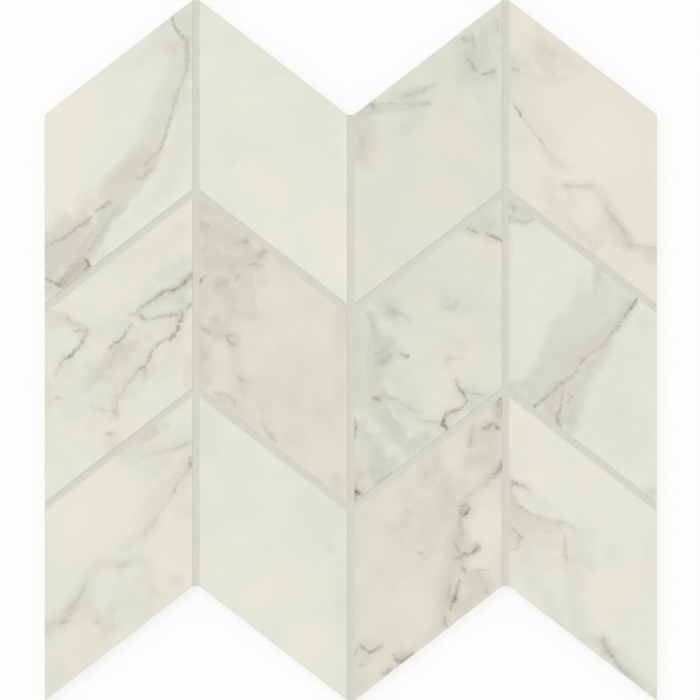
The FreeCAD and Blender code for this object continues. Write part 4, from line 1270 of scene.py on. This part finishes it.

# %% [markdown]
# ## Grout
# The joints are struck off a little below the face and keep the dish of the sponge. The solid has that shape already,
# so it stays, and only gets the look of set grout: fine sand, a faint cloudiness from uneven drying, and a matt
# surface. Towards the rims of the dish the colour is painted lighter. This is painted light that makes up for the
# shade at the joint's edges.

# %% The grout material
GROUT_ROUGHNESS, SAND_ROUGHNESS = 0.72, 0.2
SAND_SWING = 0.12
DISH_DEPTH, RIM_PAINTED_LIGHT = 0.35, 1.03  # the depth in mm

grout_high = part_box("joint_grout")[1][2] / MM
grout_material, tree, shader = new_material("set grout")
here = tree.nodes.new("ShaderNodeTexCoord").outputs["Object"]
in_mm = vector_node(tree, "MULTIPLY", here, (1 / MM, 1 / MM, 1 / MM))
clouds = noise(tree, in_mm, scale=0.12, detail=3.0, roughness=0.6).outputs["Fac"]
sand = noise(tree, in_mm, scale=3.2, detail=3.0, roughness=0.7).outputs["Fac"]
drying = blend(tree, clouds, tone(213, 212, 202), tone(221, 220, 210))
sand_and_painted_rim_light = math_node(tree, "MULTIPLY_ADD", sand, SAND_SWING, 1 - SAND_SWING / 2)
height = add(tree, "ShaderNodeSeparateXYZ", {0: in_mm}).outputs["Z"]
# painted light: the grout gets lighter towards the dish's rims, to make up for the shade at the joint's edges
rim = smooth_step(tree, height, grout_high - DISH_DEPTH, grout_high, 1.0, RIM_PAINTED_LIGHT)
sand_and_painted_rim_light = math_node(tree, "MULTIPLY", sand_and_painted_rim_light, rim)
tree.links.new(scaled(tree, drying, sand_and_painted_rim_light), shader.inputs["Base Color"])
sandy = math_node(tree, "MULTIPLY_ADD", sand, SAND_ROUGHNESS, GROUT_ROUGHNESS)
tree.links.new(sandy, shader.inputs["Roughness"])
bump = add(tree, "ShaderNodeBump", {"Height": sand, "Strength": 0.5, "Distance": 0.12 * MM})
tree.links.new(bump.outputs[0], shader.inputs["Normal"])
for slot in bpy.data.objects["joint_grout"].material_slots:
    slot.material = grout_material
print(f"grout dressed, its rims at {grout_high:.2f} mm")

# %% [markdown]
# ## The backing mesh
# Under the chips lies a glass-fibre scrim: flat weft strands that run across, and thin warp yarns in pairs that run
# up. The two yarns of a pair twist round each other, and at each weft one goes over it and the other under it, which
# is called a leno weave. A bump on a flat grid could draw it from below, but from the side the cut ends show, so the
# yarns are real shapes. A path is worked out for each yarn first, cut back from the sheet's zigzag outline.

# %% Paths of the yarns
STRAND_PITCH = column_pitch / 6
MESH_INSET = 2.0 * MM
WARP_SWING, WARP_LIFT = 0.28 * MM, 0.125 * MM
WARP_HALF_WIDTH, WARP_HALF_HEIGHT = 0.26 * MM, 0.07 * MM
WEFT_HALF_WIDTH, WEFT_HALF_HEIGHT = 0.6 * MM, 0.05 * MM
WARP_POINTS = 4  # in each pitch
WEFT_STEP, WEFT_STEPS_A_POINT = 0.5 * MM, 20
half_sheet = cad_box[1][1]


def foot_at(x):
    """Height of the zigzag line along the sheet's foot: a triangle wave with a peak on the first joint."""
    phase = np.abs((x / column_pitch) % 2 - 1)
    return -half_sheet + (rise + joint_width * math.tan(SLANT)) * (1 - phase) - joint_width * math.tan(SLANT) / 2


def strands():
    """Paths and half sizes of all yarns.

    A warp yarn is at x + swing cos t across and lift sin t up, where t turns by half a circle in each pitch,
    and its partner is half a circle ahead. A weft runs straight, wherever the outline leaves room for it.
    """
    column_height = ROWS * row_pitch - (row_pitch - chip_side)
    edge = MESH_INSET / math.cos(SLANT)
    middle = mesh_top / 2
    out = []
    half_count = int(cad_box[1][0] // STRAND_PITCH)
    for n in range(-half_count, half_count):
        x = (n + 0.5) * STRAND_PITCH
        bottom = foot_at(x) + edge
        top = foot_at(x) + column_height - edge
        y = np.linspace(bottom, top, int(WARP_POINTS * (top - bottom) / STRAND_PITCH))
        for ahead in (0, math.pi):
            turn = math.pi * y / STRAND_PITCH + ahead
            path = np.stack([x + WARP_SWING * np.cos(turn), y, middle + WARP_LIFT * np.sin(turn)], axis=1)
            out.append((path, WARP_HALF_WIDTH, WARP_HALF_HEIGHT))
    rows_up = int(half_sheet // STRAND_PITCH)
    x = np.arange(cad_box[0][0] + MESH_INSET, cad_box[1][0] - MESH_INSET, WEFT_STEP)
    for n in range(-rows_up - 1, rows_up + 1):
        y = (n + 0.5) * STRAND_PITCH
        inside = (foot_at(x) + edge < y) & (y < foot_at(x) + column_height - edge)
        ends = np.flatnonzero(np.diff(np.concatenate([[0], inside.astype(int), [0]])))
        for start, stop in ends.reshape(-1, 2):
            if stop - start > WEFT_STEPS_A_POINT:
                run = np.linspace(x[start], x[stop - 1], max(2, (stop - start) // WEFT_STEPS_A_POINT))
                path = np.stack([run, np.full_like(run, y), np.full_like(run, middle)], axis=1)
                out.append((path, WEFT_HALF_WIDTH, WEFT_HALF_HEIGHT))
    return out


yarns = strands()
print(len(yarns), "yarns")

# %% [markdown]
# Each yarn is an oval profile carried along its path and closed at both ends. The four solids of the mesh share
# one woven piece here, because the real mesh is one piece.

# %% Weave the mesh
YARN_SIDES = 6


def tube(path, half_width, half_height):
    """Oval profile carried along a path that keeps its level: centre + side w cos a + up h sin a."""
    tangent = np.gradient(path, axis=0)
    side = np.stack([tangent[:, 1], -tangent[:, 0], np.zeros(len(path))], axis=1)
    side /= np.linalg.norm(side, axis=1, keepdims=True)
    angle = np.linspace(0, 2 * math.pi, YARN_SIDES, endpoint=False)
    ring = side[:, None] * (half_width * np.cos(angle))[None, :, None]
    ring = ring + np.array([0, 0, 1.0]) * (half_height * np.sin(angle))[None, :, None]
    vertices = path[:, None] + ring
    i, j = np.meshgrid(np.arange(len(path) - 1), np.arange(YARN_SIDES), indexing="ij")
    a, b = i * YARN_SIDES + j, i * YARN_SIDES + (j + 1) % YARN_SIDES
    quads = np.stack([a, b, b + YARN_SIDES, a + YARN_SIDES], axis=-1).reshape(-1, 4)
    return vertices.reshape(-1, 3), quads


all_vertices, all_quads, caps = [], [], []
offset = 0
for path, half_width, half_height in yarns:
    vertices, quads = tube(path, half_width, half_height)
    all_vertices.append(vertices)
    all_quads.append(quads + offset)
    last = offset + len(vertices) - YARN_SIDES
    caps.append(list(range(offset, offset + YARN_SIDES))[::-1])
    caps.append(list(range(last, last + YARN_SIDES)))
    offset += len(vertices)
scrim = add_piece(
    "woven_backing_mesh", np.concatenate(all_vertices), np.concatenate(all_quads).tolist() + caps, crease_degrees=60
)
print("mesh:", len(scrim.data.polygons), "faces")

# %% [markdown]
# Glass yarn is a bundle of fibres under a thin milky coating. A noise that is squeezed across the yarns draws the
# fibres, as streaks of two greys with a slight relief.

# %% The glass yarn material
FIBRE_CELLS = (9000, 900, 4000)  # noise cells per metre, along each axis
YARN_ROUGHNESS, FIBRE_ROUGHNESS = 0.35, 0.25

yarn_material, tree, shader = new_material("coated glass yarn")
here = tree.nodes.new("ShaderNodeTexCoord").outputs["Object"]
fibres = vector_node(tree, "MULTIPLY", here, FIBRE_CELLS)
fibre = noise(tree, fibres, scale=1.0, roughness=0.6).outputs["Fac"]
tree.links.new(blend(tree, fibre, tone(196, 200, 196), tone(238, 240, 236)), shader.inputs["Base Color"])
streaky = math_node(tree, "MULTIPLY_ADD", fibre, FIBRE_ROUGHNESS, YARN_ROUGHNESS)
tree.links.new(streaky, shader.inputs["Roughness"])
bump = add(tree, "ShaderNodeBump", {"Height": fibre, "Strength": 0.5, "Distance": 0.05 * MM})
tree.links.new(bump.outputs[0], shader.inputs["Normal"])
scrim.data.materials.append(yarn_material)
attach(scrim, "root")
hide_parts(*[f"backing_mesh_c{column}" for column in range(1, COLUMNS + 1)])
print("material:", yarn_material.name)
